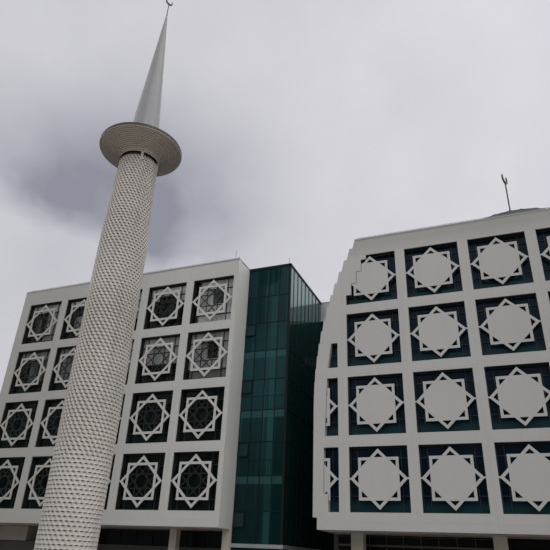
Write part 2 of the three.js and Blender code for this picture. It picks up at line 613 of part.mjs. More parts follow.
function domeArc(radius, steps) {
  const start = Math.asin((DOME_RING_TOP - DOME_CENTRE) / radius);
  return Array.from({ length: steps + 1 }, (_, step) => {
    const angle = start + (Math.PI / 2 - start) * (step / steps);
    const onAxis = step === steps;
    return [onAxis ? 0 : radius * Math.cos(angle), DOME_CENTRE + radius * Math.sin(angle)];
  });
}
const outerArc = domeArc(DOME_RADIUS, OUTER_ARC_STEPS);
const innerArc = domeArc(DOME_RADIUS - DOME_THICKNESS, INNER_ARC_STEPS).reverse();
const shellProfile = [...outerArc, ...innerArc, outerArc[0]];
addPiece('dome_shell', lathe(shellProfile, DOME_SEGMENTS), FINISH.domeSkin, dome);
addPiece('dome_finial', finial(DOME_TOP + GAP, DOME_FINIAL), FINISH.darkMetal, dome);

// Minaret: hollow round shaft, saucer balcony, slender sheet spire and crescent.
const minaret = new THREE.Group();
minaret.position.set(mm(MINARET_X), mm(MINARET_Y), 0);
building.add(minaret);
const [shaftFoot] = SHAFT_PROFILE;
const shaftHead = SHAFT_PROFILE[SHAFT_PROFILE.length - 1];
const SHAFT_TOP = shaftHead[1];
addPiece('minaret_shaft', lathe([
  ...SHAFT_PROFILE, [shaftHead[0] - SHAFT_WALL, SHAFT_TOP], [shaftFoot[0] - SHAFT_WALL, 0], shaftFoot,
], SHAFT_SEGMENTS), FINISH.shaftSkin, minaret);
addPiece('minaret_balcony', lathe([
  [0, SHAFT_TOP], [BALCONY_NECK, SHAFT_TOP], [BALCONY_RADIUS, BALCONY_RIM_BOTTOM],
  [BALCONY_RADIUS, BALCONY_RIM_TOP], [SPIRE_RADIUS, BALCONY_TOP], [0, BALCONY_TOP],
], BALCONY_SEGMENTS), FINISH.balconySkin, minaret);
addPiece('minaret_spire', lathe([
  [SPIRE_RADIUS - SPIRE_SHEET, BALCONY_TOP], [SPIRE_RADIUS, BALCONY_TOP],
  [SPIRE_TIP_RADIUS, SPIRE_TOP], [0, SPIRE_TOP], [0, SPIRE_TOP - SPIRE_SOLID_TIP],
  [SPIRE_RADIUS - SPIRE_SHEET, BALCONY_TOP],
], SHAFT_SEGMENTS), FINISH.shaftSkin, minaret);
addPiece('minaret_finial', finial(SPIRE_TOP, MINARET_FINIAL), FINISH.darkMetal, minaret);

// The origin is the middle of the whole part's footprint, on the ground.
const MIDDLE_X = (LEFT_END + HALF_WIDTH) / 2;
const MIDDLE_Y = (MINARET_Y - BALCONY_RADIUS + DEPTH) / 2;
building.position.set(-mm(MIDDLE_X), -mm(MIDDLE_Y), 0);

export default building;
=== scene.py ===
import math

import bpy
from mathutils import Matrix


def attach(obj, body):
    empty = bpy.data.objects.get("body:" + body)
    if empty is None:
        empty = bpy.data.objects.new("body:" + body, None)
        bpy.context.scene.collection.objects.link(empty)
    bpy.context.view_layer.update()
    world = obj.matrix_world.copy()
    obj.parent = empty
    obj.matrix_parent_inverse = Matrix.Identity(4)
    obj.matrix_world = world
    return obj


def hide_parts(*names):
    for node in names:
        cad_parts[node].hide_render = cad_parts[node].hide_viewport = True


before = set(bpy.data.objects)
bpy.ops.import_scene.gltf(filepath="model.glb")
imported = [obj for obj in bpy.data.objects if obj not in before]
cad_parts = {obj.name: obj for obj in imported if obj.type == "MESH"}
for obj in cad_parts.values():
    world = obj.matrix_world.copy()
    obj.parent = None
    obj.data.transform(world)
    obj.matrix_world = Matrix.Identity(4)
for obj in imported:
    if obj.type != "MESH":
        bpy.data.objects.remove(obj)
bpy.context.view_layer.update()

# Where the real building's metres lie in this frame. x runs along the front from the right wing's
# middle, y runs back from the front, z is height, and the part is a 1:2 model.
MODEL_SCALE = 0.5
MIDDLE_X = -14.165
MIDDLE_Y = 7.0015


def size(metres):
    return metres * MODEL_SCALE


def across(x):
    return size(x - MIDDLE_X)


def inwards(y):
    return size(y - MIDDLE_Y)


def at(x, y, z):
    return across(x), inwards(y), size(z)


# Camera, floor and light. The camera stands in the street at eye height and looks steeply up, a
# little rolled. The floor is a wide pale sheet, and the light is a soft overcast sky.
CAMERA_AXES = ((0.9274, 0.3718, 0.0407), (0.1362, -0.4373, 0.8890), (0.3483, -0.8189, -0.4562))
CAMERA_PLACE = (5.560, -21.121, 0.800)
CAMERA_LENS = 36.826
CAMERA_SEES_TO = 1000.0
camera_data = bpy.data.cameras.new("street_camera")
camera_data.lens = CAMERA_LENS
camera_data.sensor_width = 36.0
camera_data.clip_end = CAMERA_SEES_TO
camera = bpy.data.objects.new("street_camera", camera_data)
bpy.context.scene.collection.objects.link(camera)
camera.matrix_world = Matrix([
    [axis[row] for axis in CAMERA_AXES] + [CAMERA_PLACE[row]] for row in range(3)
] + [[0.0, 0.0, 0.0, 1.0]])
bpy.context.scene.camera = camera
bpy.context.scene.view_settings.view_transform = "Standard"


def deselect_all():
    if bpy.context.mode != "OBJECT":
        bpy.ops.object.mode_set(mode="OBJECT")
    bpy.ops.object.select_all(action="DESELECT")


def calc(tree, operation, *values):
    """A Math node on sockets or plain numbers; gives its result's socket."""
    made = tree.nodes.new("ShaderNodeMath")
    made.operation = operation
    for socket, value in zip(made.inputs, values):
        if isinstance(value, (int, float)):
            socket.default_value = value
        else:
            tree.links.new(value, socket)
    return made.outputs[0]


def product(tree, whole, *others):
    """Masks and numbers multiplied together."""
    for value in others:
        whole = calc(tree, "MULTIPLY", whole, value)
    return whole


def total(tree, whole, *others):
    """Masks and numbers added together."""
    for value in others:
        whole = calc(tree, "ADD", whole, value)
    return whole


def blend_colours(tree, share, first, second):
    """A Mix node between two colours, each a socket or a plain colour."""
    made = tree.nodes.new("ShaderNodeMix")
    made.data_type = "RGBA"
    factor, low, high = made.inputs[0], made.inputs[6], made.inputs[7]
    for socket, value in ((factor, share), (low, first), (high, second)):
        if isinstance(value, (int, float)):
            socket.default_value = value
        elif isinstance(value, tuple):
            socket.default_value = (*value, 1.0)
        else:
            tree.links.new(value, socket)
    return made.outputs[2]


def spread(tree, value, low, high, to_low=0.0, to_high=1.0):
    """A Map Range node, which holds its result between the two ends."""
    made = tree.nodes.new("ShaderNodeMapRange")
    tree.links.new(value, made.inputs["Value"])
    ends = (("From Min", low), ("From Max", high), ("To Min", to_low), ("To Max", to_high))
    for label, number in ends:
        made.inputs[label].default_value = number
    return made.outputs["Result"]


def noise(tree, vector, scale, detail):
    made = tree.nodes.new("ShaderNodeTexNoise")
    made.inputs["Scale"].default_value = scale
    made.inputs["Detail"].default_value = detail
    tree.links.new(vector, made.inputs["Vector"])
    return made.outputs["Fac"]


def axes(tree, vector):
    """A vector's three parts, as sockets named X, Y and Z."""
    made = tree.nodes.new("ShaderNodeSeparateXYZ")
    tree.links.new(vector, made.inputs[0])
    return made.outputs


# The sky that the camera sees has a grey bank of cloud, between a slanting foot and a level head and
# thickest towards one place, with a haze at the left and a thin veil all over.
SKY_SEEN = (0.735, 0.725, 0.77)
SKY_CLOUD = (0.27, 0.28, 0.335)
NOISE_SPAN = (0.3, 0.7)
CLOUD_TOWARDS = (-0.542, 0.625, 0.562)
CLOUD_REACH = (0.93, 0.997)
CLOUD_FALLOFF = 2.5
CLOUD_SLANT = 0.5
CLOUD_SHIFT = 0.31
CLOUD_FOOT = (0.455, 0.53)
CLOUD_HEAD = (0.575, 0.71)
CLOUD_RIPPLE = 0.045
CLOUD_DETAIL = 5.0
BILLOW_SCALE = 4.5
BILLOW_SPAN = (0.34, 0.62)
CLOUD_THIN = 0.38
CLOUD_THICK = 0.84
HAZE_ACROSS = (-0.62, 0.05)
HAZE_SHARE = 0.27
VEIL_SCALE = 3.1
VEIL_SPAN = (0.38, 0.66)
VEIL_SHARE = 0.17
SKY_BRIGHT = (0.97, 0.985, 1.0)
SKY_LOW = (0.10, 0.11, 0.11)
SKY_RISE = (0.10, 0.55)
SKY_STRENGTH = 1.12
world = bpy.data.worlds.new("overcast")
bpy.context.scene.world = world
world.use_nodes = True
sky = world.node_tree
sky_light = sky.nodes["Background"]
sky_shown = sky.nodes.new("ShaderNodeBackground")
direction = sky.nodes.new("ShaderNodeTexCoord").outputs["Generated"]
near_cloud = sky.nodes.new("ShaderNodeVectorMath")
near_cloud.operation = "DOT_PRODUCT"
near_cloud.inputs[1].default_value = CLOUD_TOWARDS
sky.links.new(direction, near_cloud.inputs[0])
towards = axes(sky, direction)
billows = noise(sky, direction, BILLOW_SCALE, CLOUD_DETAIL)
upwards = total(sky, towards["Z"], spread(sky, billows, *NOISE_SPAN, -CLOUD_RIPPLE, CLOUD_RIPPLE))
over_foot = total(sky, upwards, calc(sky, "MULTIPLY_ADD", towards["X"], CLOUD_SLANT, CLOUD_SHIFT))
bank = product(
    sky, spread(sky, over_foot, *CLOUD_FOOT), spread(sky, upwards, *CLOUD_HEAD, 1.0, 0.0),
    calc(sky, "POWER", spread(sky, near_cloud.outputs["Value"], *CLOUD_REACH), CLOUD_FALLOFF),
    spread(sky, billows, *BILLOW_SPAN, CLOUD_THIN, CLOUD_THICK))
haze = spread(sky, towards["X"], *HAZE_ACROSS, HAZE_SHARE, 0.0)
veil = spread(sky, noise(sky, direction, VEIL_SCALE, CLOUD_DETAIL), *VEIL_SPAN, 0.0, VEIL_SHARE)
cloud_share = total(sky, bank, haze, veil)
sky.links.new(blend_colours(sky, cloud_share, SKY_SEEN, SKY_CLOUD), sky_shown.inputs["Color"])
sky_height = spread(sky, towards["Z"], *SKY_RISE)
sky.links.new(blend_colours(sky, sky_height, SKY_LOW, SKY_BRIGHT), sky_light.inputs["Color"])
sky_light.inputs["Strength"].default_value = SKY_STRENGTH
rays = sky.nodes.new("ShaderNodeLightPath")
sky_mix = sky.nodes.new("ShaderNodeMixShader")
sky.links.new(rays.outputs["Is Camera Ray"], sky_mix.inputs["Fac"])
sky.links.new(sky_light.outputs[0], sky_mix.inputs[1])
sky.links.new(sky_shown.outputs[0], sky_mix.inputs[2])
sky.links.new(sky_mix.outputs[0], sky.nodes["World Output"].inputs["Surface"])

SUN_STRENGTH = 1.12
SUN_WIDTH = math.radians(70)
SUN_TURN = (math.radians(42), 0.0, math.radians(71))
soft_sun_data = bpy.data.lights.new("soft_sun", "SUN")
soft_sun_data.energy = SUN_STRENGTH
soft_sun_data.angle = SUN_WIDTH
soft_sun = bpy.data.objects.new("soft_sun", soft_sun_data)
soft_sun.rotation_euler = SUN_TURN
bpy.context.scene.collection.objects.link(soft_sun)

FLOOR_SIDE = 420.0
FLOOR_DROP = 0.002
FLOOR_SEEN = (0.52, 0.52, 0.53)
FLOOR_LIGHTING = (0.30, 0.285, 0.265)
deselect_all()
bpy.ops.mesh.primitive_plane_add(size=FLOOR_SIDE, location=(0.0, 0.0, -FLOOR_DROP))
studio_floor = bpy.context.object
studio_floor.name = "studio_floor"
floor_material = bpy.data.materials.new("studio_floor")
floor_material.use_nodes = True
floor_tree = floor_material.node_tree
floor_shader = floor_tree.nodes["Principled BSDF"]
seen = floor_tree.nodes.new("ShaderNodeLightPath").outputs["Is Camera Ray"]
floor_colour = blend_colours(floor_tree, seen, FLOOR_LIGHTING, FLOOR_SEEN)
floor_tree.links.new(floor_colour, floor_shader.inputs["Base Color"])
floor_shader.inputs["Roughness"].default_value = 0.9
studio_floor.data.materials.append(floor_material)


# White cladding of both wings: large aluminium panels, coated off-white, hung on the frame with
# open joints. The front screens are folded from it, with the stars cut from flat sheet. The right
# wing is darker towards its top and from its left part rightwards; painted shade darkens the far
# end of the left wing.
BAY = 4.274
STOREY = 4.5
STOREYS = (1, 2, 3, 4)
LEFT_LAST_WINDOW = -23.35
END_MIDDLE = 12.9
PANEL_FOOT = 3.95
PANEL_JOINT = 0.02
PANEL_CHANGE = 0.07
LEFT_COAT = (0.585, 0.577, 0.560)
RIGHT_COAT = (0.485, 0.475, 0.469)
CLADDING_DIRT_AND_SHADE = (0.30, 0.285, 0.255)
CLADDING_GLOSS = (0.42, 0.6)
JOINT_SHADE = (0.08, 0.08, 0.08)
JOINT_SHARE = 0.14
TOP_DARKER_RISE = (21.6, 22.6)
RIGHT_TOP_DARKER = 0.45
# Painted shade over the left wing's far end; on the right wing, only darker from its left part rightwards.
LEFT_PAINTED_SHADE = (-40.0, -26.0, 0.68, 0.06)
RIGHT_DARKER_ACROSS = (-9.0, -1.0, 0.04, 0.25)
CLOUDY_SCALE = 0.55
RUN_STRETCH = (5.0, 5.0, 0.35)
RUN_SPAN = (0.5, 0.78)
FLAT_ON = 0.7


def new_material(name, roughness, metallic=0.0):
    made = bpy.data.materials.new(name)
    made.use_nodes = True
    shader = made.node_tree.nodes["Principled BSDF"]
    shader.inputs["Roughness"].default_value = roughness
    shader.inputs["Metallic"].default_value = metallic
    return made, made.node_tree, shader


def new_group(name, inputs, outputs):
    """A shader node group with named sockets; gives its tree and its two ends."""
    group = bpy.data.node_groups.new(name, "ShaderNodeTree")
    for label, kind, value in inputs:
        group.interface.new_socket(label, in_out="INPUT", socket_type=kind).default_value = value
    for label, kind in outputs:
        group.interface.new_socket(label, in_out="OUTPUT", socket_type=kind)
    return group, group.nodes.new("NodeGroupInput"), group.nodes.new("NodeGroupOutput")


def place_group(tree, group, **values):
    """One use of a node group, with its own values; an underscore stands for a space."""
    made = tree.nodes.new("ShaderNodeGroup")
    made.node_tree = group
    for label, value in values.items():
        socket = made.inputs[label.replace("_", " ")]
        if isinstance(value, bpy.types.NodeSocket):
            tree.links.new(value, socket)
        else:
            socket.default_value = (*value, 1.0) if isinstance(value, tuple) else value
    return made


def stretched(tree, vector, x, y, z):
    made = tree.nodes.new("ShaderNodeMapping")
    made.inputs["Scale"].default_value = (x, y, z)
    tree.links.new(vector, made.inputs["Vector"])
    return made.outputs["Vector"]


def object_coordinates(tree):
    return tree.nodes.new("ShaderNodeTexCoord").outputs["Object"]


def surface_facing(tree):
    return axes(tree, tree.nodes.new("ShaderNodeTexCoord").outputs["Normal"])


COLOUR, NUMBER = "NodeSocketColor", "NodeSocketFloat"
weather, weather_in, weather_out = new_group(
    "weathering",
    (("Colour", COLOUR, (0.5, 0.5, 0.5, 1.0)), ("Soil", COLOUR, (0.2, 0.2, 0.2, 1.0)),
     ("Cloud", NUMBER, 0.1), ("Streak", NUMBER, 0.1), ("Grain", NUMBER, 40.0)),
    (("Colour", COLOUR), ("Mask", NUMBER), ("Height", NUMBER)))
place = object_coordinates(weather)
cloud = spread(weather, noise(weather, place, CLOUDY_SCALE, 3.0), *NOISE_SPAN)
runs = spread(weather, noise(weather, stretched(weather, place, *RUN_STRETCH), 1.0, 4.0), *RUN_SPAN)
soiled = total(weather, product(weather, cloud, weather_in.outputs["Cloud"]),
               product(weather, runs, weather_in.outputs["Streak"]))
grain_noise = weather.nodes.new("ShaderNodeTexNoise")
weather.links.new(place, grain_noise.inputs["Vector"])
weather.links.new(weather_in.outputs["Grain"], grain_noise.inputs["Scale"])
soiled_colour = blend_colours(weather, soiled, weather_in.outputs["Colour"], weather_in.outputs["Soil"])
weather.links.new(soiled_colour, weather_out.inputs["Colour"])
weather.links.new(soiled, weather_out.inputs["Mask"])
weather.links.new(grain_noise.outputs["Fac"], weather_out.inputs["Height"])

joints, joints_in, joints_out = new_group(
    "panel_joints",
    (("X Start", NUMBER, 0.0), ("X Pitch", NUMBER, 1.0), ("Y Start", NUMBER, 0.0), ("Y Pitch", NUMBER, 1.0),
     ("Z Start", NUMBER, 0.0), ("Z Pitch", NUMBER, 1.0), ("Width", NUMBER, 0.01)),
    (("Mask", NUMBER), ("Tint", NUMBER)))
joint_place = axes(joints, object_coordinates(joints))
facing = surface_facing(joints)
half_width = product(joints, joints_in.outputs["Width"], 0.5)
lines, cells = [], []
for axis in "XYZ":
    along = calc(joints, "SUBTRACT", joint_place[axis], joints_in.outputs[f"{axis} Start"])
    pitch = joints_in.outputs[f"{axis} Pitch"]
    from_joint = calc(joints, "PINGPONG", along, product(joints, pitch, 0.5))
    flat_on = calc(joints, "LESS_THAN", calc(joints, "ABSOLUTE", facing[axis]), FLAT_ON)
    lines.append(product(joints, calc(joints, "LESS_THAN", from_joint, half_width), flat_on))
    cells.append(product(joints, calc(joints, "FLOOR", calc(joints, "DIVIDE", along, pitch)), flat_on))
any_line = calc(joints, "MAXIMUM", calc(joints, "MAXIMUM", lines[0], lines[1]), lines[2])
joints.links.new(any_line, joints_out.inputs["Mask"])
cell = joints.nodes.new("ShaderNodeCombineXYZ")
for socket, value in zip(cell.inputs, cells):
    joints.links.new(value, socket)
panel_chance = joints.nodes.new("ShaderNodeTexWhiteNoise")
joints.links.new(cell.outputs[0], panel_chance.inputs["Vector"])
joints.links.new(panel_chance.outputs["Value"], joints_out.inputs["Tint"])


def wall_grid(tree, x_start, x_pitch, z_start, z_pitch, width=0.0, y_start=END_MIDDLE, y_pitch=BAY):
    """The panels or panes of a wall on all its sides: the joints between them and a tone for each."""
    return place_group(tree, joints, X_Start=across(x_start), X_Pitch=size(x_pitch),
                       Y_Start=inwards(y_start), Y_Pitch=size(y_pitch),
                       Z_Start=size(z_start), Z_Pitch=size(z_pitch), Width=size(width))


def bump(tree, shader, height, strength, distance):
    made = tree.nodes.new("ShaderNodeBump")
    made.inputs["Strength"].default_value = strength
    made.inputs["Distance"].default_value = distance
    tree.links.new(height, made.inputs["Height"])
    tree.links.new(made.outputs["Normal"], shader.inputs["Normal"])


def cladding(name, colour, x_start, top_darker, darker_across):
    """Coated panels with fine joints, a slight change of tone between panels, rain marks, and darkening
    upwards and across (painted shade on the left wing).
    """
    made, tree, shader = new_material(name, 0.5)
    grid = wall_grid(tree, x_start, BAY, PANEL_FOOT, STOREY, PANEL_JOINT)
    coat = place_group(tree, weather, Colour=colour, Soil=CLADDING_DIRT_AND_SHADE, Cloud=0.09, Streak=0.10,
                       Grain=14.0)
    place = axes(tree, object_coordinates(tree))
    low, high = TOP_DARKER_RISE
    darker_from, darker_to, share_from, share_to = darker_across
    # Tone: a change from panel to panel, darker towards the top, and darker across; on the left wing that
    # last is painted shade.
    tone = total(tree, spread(tree, grid.outputs["Tint"], 0.0, 1.0, 0.0, PANEL_CHANGE),
                 spread(tree, place["Z"], size(low), size(high), 0.0, top_darker),
                 spread(tree, place["X"], across(darker_from), across(darker_to), share_from, share_to))
    toned = blend_colours(tree, tone, coat.outputs["Colour"], CLADDING_DIRT_AND_SHADE)
    jointed = blend_colours(tree, product(tree, grid.outputs["Mask"], JOINT_SHARE), toned, JOINT_SHADE)
    tree.links.new(jointed, shader.inputs["Base Color"])
    tree.links.new(spread(tree, coat.outputs["Mask"], 0.0, 0.2, *CLADDING_GLOSS), shader.inputs["Roughness"])
    relief = calc(tree, "SUBTRACT", product(tree, coat.outputs["Height"], 0.08), grid.outputs["Mask"])
    bump(tree, shader, relief, 0.35, 0.004)
    return made


def dress(material, *names):
    """Gives CAD nodes their finish."""
    for name in names:
        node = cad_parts[name]
        for slot in node.material_slots:
            slot.material = material


def storeys_of(stem):
    return [f"{stem}_{storey}" for storey in STOREYS]


left_cladding = cladding("left_cladding", LEFT_COAT, LEFT_LAST_WINDOW + BAY / 2, 0.0, LEFT_PAINTED_SHADE)
right_cladding = cladding("right_cladding", RIGHT_COAT, 0.0, RIGHT_TOP_DARKER, RIGHT_DARKER_ACROSS)
dress(left_cladding, *storeys_of("left_screen"), "left_inner_wall", "left_end_wall", "back_wall_left")
dress(right_cladding, *storeys_of("right_screen"), "right_west_wall", "right_east_wall",
      "back_wall_right")


# Glass of the wings: dark green body-tinted sheets, one sealed unit to each pane. In the two upper
# storeys of the left wing, pale fields broken by dark gaps are painted into the glass: a painted
# reflection of the pale sky and of a light grey building.
FIRST_SILL = 4.5
LEFT_GLASS = (0.0035, 0.0095, 0.0085)
LEFT_UPPER_GLASS = (0.0040, 0.0080, 0.0070)
RIGHT_GLASS = (0.0020, 0.0085, 0.0185)
LIT_FOOT_GLASS = (0.0120, 0.0450, 0.0520)
LIT_FOOT_RISE = (0.35, 0.75)
RIGHT_TINT = (0.62, 0.78, 0.92)
PALE_REFLECTION = (0.80, 0.84, 0.83)
LIT_TIMES = 3.2
STREAK_SCALE = 9.0
GLASS_ROUGHNESS = 0.06
GLASS_MIRROR = 0.15
fields, fields_in, fields_out = new_group(
    "pale_field",
    (("Low X", NUMBER, 0.0), ("High X", NUMBER, 1.0), ("Low Z", NUMBER, 0.0), ("High Z", NUMBER, 1.0),
     ("Share", NUMBER, 1.0)),
    (("Mask", NUMBER),))
field_place = axes(fields, object_coordinates(fields))
inside = fields_in.outputs["Share"]
for axis in "XZ":
    inside = product(
        fields, inside, calc(fields, "GREATER_THAN", field_place[axis], fields_in.outputs[f"Low {axis}"]),
        calc(fields, "LESS_THAN", field_place[axis], fields_in.outputs[f"High {axis}"]))
fields.links.new(inside, fields_out.inputs["Mask"])


def field_mask(tree, listed):
    """The strongest of the fields, each (windows from the last, storey, left, right, low, high, share)."""
    whole = None
    for back, storey, left, right, low, high, share in listed:
        middle, sill = LEFT_LAST_WINDOW - back * BAY, FIRST_SILL + STOREY * (storey - 1)
        one = place_group(tree, fields, Low_X=across(middle + left), High_X=across(middle + right),
                          Low_Z=size(sill + low), High_Z=size(sill + high), Share=share).outputs["Mask"]
        whole = one if whole is None else calc(tree, "MAXIMUM", whole, one)
    return whole


def shade(colour, times):
    return tuple(channel * times for channel in colour)


def mirror_sky(material, level, tint=(1.0, 1.0, 1.0)):
    """Sets how strongly a material mirrors the sky, and in what tint."""
    shader = material.node_tree.nodes["Principled BSDF"]
    shader.inputs["Specular IOR Level"].default_value = level
    shader.inputs["Specular Tint"].default_value = (*tint, 1.0)


def wing_glass(name, body, x_start, pitch, z_start=FIRST_SILL, lit_foot=None, reflections=(), gaps=()):
    """Dark glass, a little lighter in some panes, with painted light at the foot of each storey or a painted
    pale reflection where given.
    """
    made, tree, shader = new_material(name, GLASS_ROUGHNESS)
    panes = wall_grid(tree, x_start, pitch, z_start, STOREY / 3)
    place = object_coordinates(tree)
    streaks = noise(tree, stretched(tree, place, STREAK_SCALE, STREAK_SCALE, 0.5), 1.0, 3.0)
    depth = product(tree, spread(tree, panes.outputs["Tint"], 0.0, 1.0, 0.0, 0.5),
                    spread(tree, streaks, 0.42, 0.7, 0.2, 1.0))
    seen = blend_colours(tree, depth, body, shade(body, LIT_TIMES))
    # Painted light: a lighter teal band at the foot of each storey's glass.
    if lit_foot:
        over_start = calc(tree, "SUBTRACT", axes(tree, place)["Z"], size(z_start))
        in_storey = calc(tree, "MODULO", over_start, size(STOREY))
        low, high = LIT_FOOT_RISE
        seen = blend_colours(tree, spread(tree, in_storey, size(low), size(high), 0.9, 0.0), seen, lit_foot)
    # Painted reflection: pale fields with dark gaps in the upper storeys' glass.
    if reflections:
        reflected = product(tree, field_mask(tree, reflections), spread(tree, streaks, 0.3, 0.62, 0.55, 1.0),
                        calc(tree, "SUBTRACT", 1.0, field_mask(tree, gaps)))
        seen = blend_colours(tree, reflected, seen, PALE_REFLECTION)
    tree.links.new(seen, shader.inputs["Base Color"])
    mirror_sky(made, GLASS_MIRROR)
    return made


PALE_REFLECTIONS = (
    (0, 4, -1.38, 1.85, 0.2, 3.8, 0.70), (1, 4, -1.8, 1.8, 3.3, 3.68, 1.0),
    (1, 4, -1.75, -0.9, 2.5, 3.3, 0.5), (1, 4, -0.9, 0.8, 2.9, 3.3, 0.55),
    (1, 4, 0.8, 1.8, 2.4, 3.3, 0.66), (2, 4, -1.8, 1.8, 1.3, 3.8, 0.5),
    (3, 4, -1.8, 1.8, 3.34, 3.68, 1.0), (3, 4, -0.9, 0.2, 0.95, 2.2, 0.4),
    (4, 4, -1.7, 1.8, 3.0, 3.75, 0.58), (4, 4, 0.1, 1.8, 0.3, 3.0, 0.34),
    (4, 4, -0.95, -0.45, 1.0, 2.4, 0.16), (0, 3, -1.66, 1.8, 0.9, 3.8, 0.46),
    (0, 3, -1.5, 1.8, 0.2, 0.9, 0.22), (1, 3, -1.8, 1.75, 1.57, 3.8, 0.48),
    (2, 3, -1.8, 1.8, 1.2, 3.8, 0.34), (3, 3, -1.8, 1.8, 0.94, 3.8, 0.28),
    (4, 3, -1.8, 1.8, 2.85, 3.8, 0.30), (4, 3, -0.4, 0.35, 1.1, 2.85, 0.2),
    (4, 3, 0.8, 1.8, 1.1, 2.85, 0.18))
REFLECTION_GAPS = ((0, 4, -0.12, 0.84, 1.68, 2.86, 0.85), (0, 3, -0.14, 0.72, 1.68, 3.06, 1.0))
left_glass = wing_glass("left_glass", LEFT_GLASS, LEFT_LAST_WINDOW, BAY / 2)
left_upper_glass = wing_glass("left_upper_glass", LEFT_UPPER_GLASS, LEFT_LAST_WINDOW, BAY / 2,
                              reflections=PALE_REFLECTIONS, gaps=REFLECTION_GAPS)
right_glass = wing_glass("right_glass", RIGHT_GLASS, 0.0, BAY / 2, lit_foot=LIT_FOOT_GLASS)
mirror_sky(right_glass, GLASS_MIRROR, RIGHT_TINT)
dress(left_glass, "left_glazing_1", "left_glazing_2", *storeys_of("end_glazing"))
dress(left_upper_glass, "left_glazing_3", "left_glazing_4")
dress(right_glass, *storeys_of("right_glazing"), *storeys_of("back_glazing"))

# Window frames of the left wing's front: dark coated aluminium, set in front of the glass, with
# two bars up and two across in every window.
WINDOW_WIDTH = 3.61
WINDOW_HEIGHT = 3.79
GLASS_FRONT = 0.45
FRAME_DEPTH = 0.08
FRAME_FRONT = GLASS_FRONT - FRAME_DEPTH
FRAME_WIDTH = 0.07
BAR_WIDTH = 0.05
UPRIGHT_BACK = 0.02
CROSSBAR_BACK = 0.01
EDGE_CHAMFER = 0.004
LEFT_BAYS = 5
LEFT_BARS = ((0.14, 0.82), (0.2, 0.78))


def weathered(name, colour, soil, marks, gloss, relief=None, metallic=0.0):
    """A coated surface: rain marks in its colour, wear in its roughness, and a faint relief."""
    made, tree, shader = new_material(name, gloss[0], metallic)
    cloud, streak, grain = marks
    coat = place_group(tree, weather, Colour=colour, Soil=soil, Cloud=cloud, Streak=streak, Grain=grain)
    tree.links.new(coat.outputs["Colour"], shader.inputs["Base Color"])
    tree.links.new(spread(tree, coat.outputs["Height"], *NOISE_SPAN, *gloss), shader.inputs["Roughness"])
    if relief:
        bump(tree, shader, coat.outputs["Height"], *relief)
    return made


def metal(name, colour, roughness, metallic=0.0):
    """Coated metal, with a faint cloudiness and fine wear in its gloss."""
    return weathered(name, colour, shade(colour, 0.55), (0.35, 0.3, 30.0),
                     (roughness - 0.08, roughness + 0.1), (0.1, 0.002), metallic)


def apply_place():
    """Puts the selected objects' place, turn and scale into their meshes."""
    bpy.ops.object.transform_apply(location=True, rotation=True, scale=True)


def edit_all():
    """Opens the active mesh for editing, with all of it selected."""
    bpy.ops.object.mode_set(mode="EDIT")
    bpy.ops.mesh.select_all(action="SELECT")


def end_edit():
    bpy.ops.object.mode_set(mode="OBJECT")


def join_pieces(name, pieces):
    deselect_all()
    for piece in pieces:
        piece.select_set(True)
    bpy.context.view_layer.objects.active = pieces[0]
    if len(pieces) > 1:
        bpy.ops.object.join()
    joined = bpy.context.view_layer.objects.active
    joined.name = joined.data.name = name
    return joined


def box_between(low, high):
    """A squared bar between two corners, given in the real building's metres."""
    a, b = at(*low), at(*high)
    middle = [(p + q) / 2 for p, q in zip(a, b)]
    bpy.ops.mesh.primitive_cube_add(size=1.0, location=middle, scale=[q - p for p, q in zip(a, b)])
    return bpy.context.object


def framework(name, boxes, chamfer=EDGE_CHAMFER):
    """Squared bars made one by one, joined, and given a small chamfer on every edge."""
    deselect_all()
    piece = join_pieces(name, [box_between(low, high) for low, high in boxes])
    apply_place()
    edit_all()
    bpy.ops.mesh.bevel(offset=size(chamfer), segments=1, affect="EDGES")
    end_edit()
    return piece


def repeat(piece, count, x=0.0, y=0.0, z=0.0):
    """Copies a piece along a line, in the real building's metres, into its own mesh."""
    copies = piece.modifiers.new("repeat", "ARRAY")
    copies.count = count
    copies.use_relative_offset = False
    copies.use_constant_offset = True
    copies.constant_offset_displace = (size(x), size(y), size(z))
    bpy.context.view_layer.objects.active = piece
    bpy.ops.object.modifier_apply(modifier=copies.name)


def hand_over(piece, material, slot, *nodes):
    """Gives a finished piece its material, its body and the nodes that it stands for; its slot is not used.
    """
    piece.data.materials.clear()
    piece.data.materials.append(material)
    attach(piece, "root")
    if nodes:
        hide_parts(*nodes)


def window_bars(middle, sill, uprights, crossbars, front=FRAME_FRONT):
    """The boxes of one window's frame and bars; the bars' places are shares of its width or height."""
    left, back, top = middle - WINDOW_WIDTH / 2, front + FRAME_DEPTH, sill + WINDOW_HEIGHT
    right = left + WINDOW_WIDTH
    boxes = [((left, front, sill), (left + FRAME_WIDTH, back, top)),
             ((right - FRAME_WIDTH, front, sill), (right, back, top)),
             ((left, front, sill), (right, back, sill + FRAME_WIDTH)),
             ((left, front, top - FRAME_WIDTH), (right, back, top))]
    for share in uprights:
        x = left + WINDOW_WIDTH * share
        boxes.append(((x - BAR_WIDTH / 2, front + UPRIGHT_BACK, sill), (x + BAR_WIDTH / 2, back, top)))
    for share in crossbars:
        z = sill + WINDOW_HEIGHT * share
        boxes.append(((left, front + CROSSBAR_BACK, z - BAR_WIDTH / 2), (right, back, z + BAR_WIDTH / 2)))
    return boxes


def copied(piece, bays, storeys, y=0.0):
    """Copies one window's piece from bay to bay, along x or along y, and from storey to storey."""
    repeat(piece, bays, x=0.0 if y else BAY, y=y)
    repeat(piece, storeys, z=STOREY)
    return piece


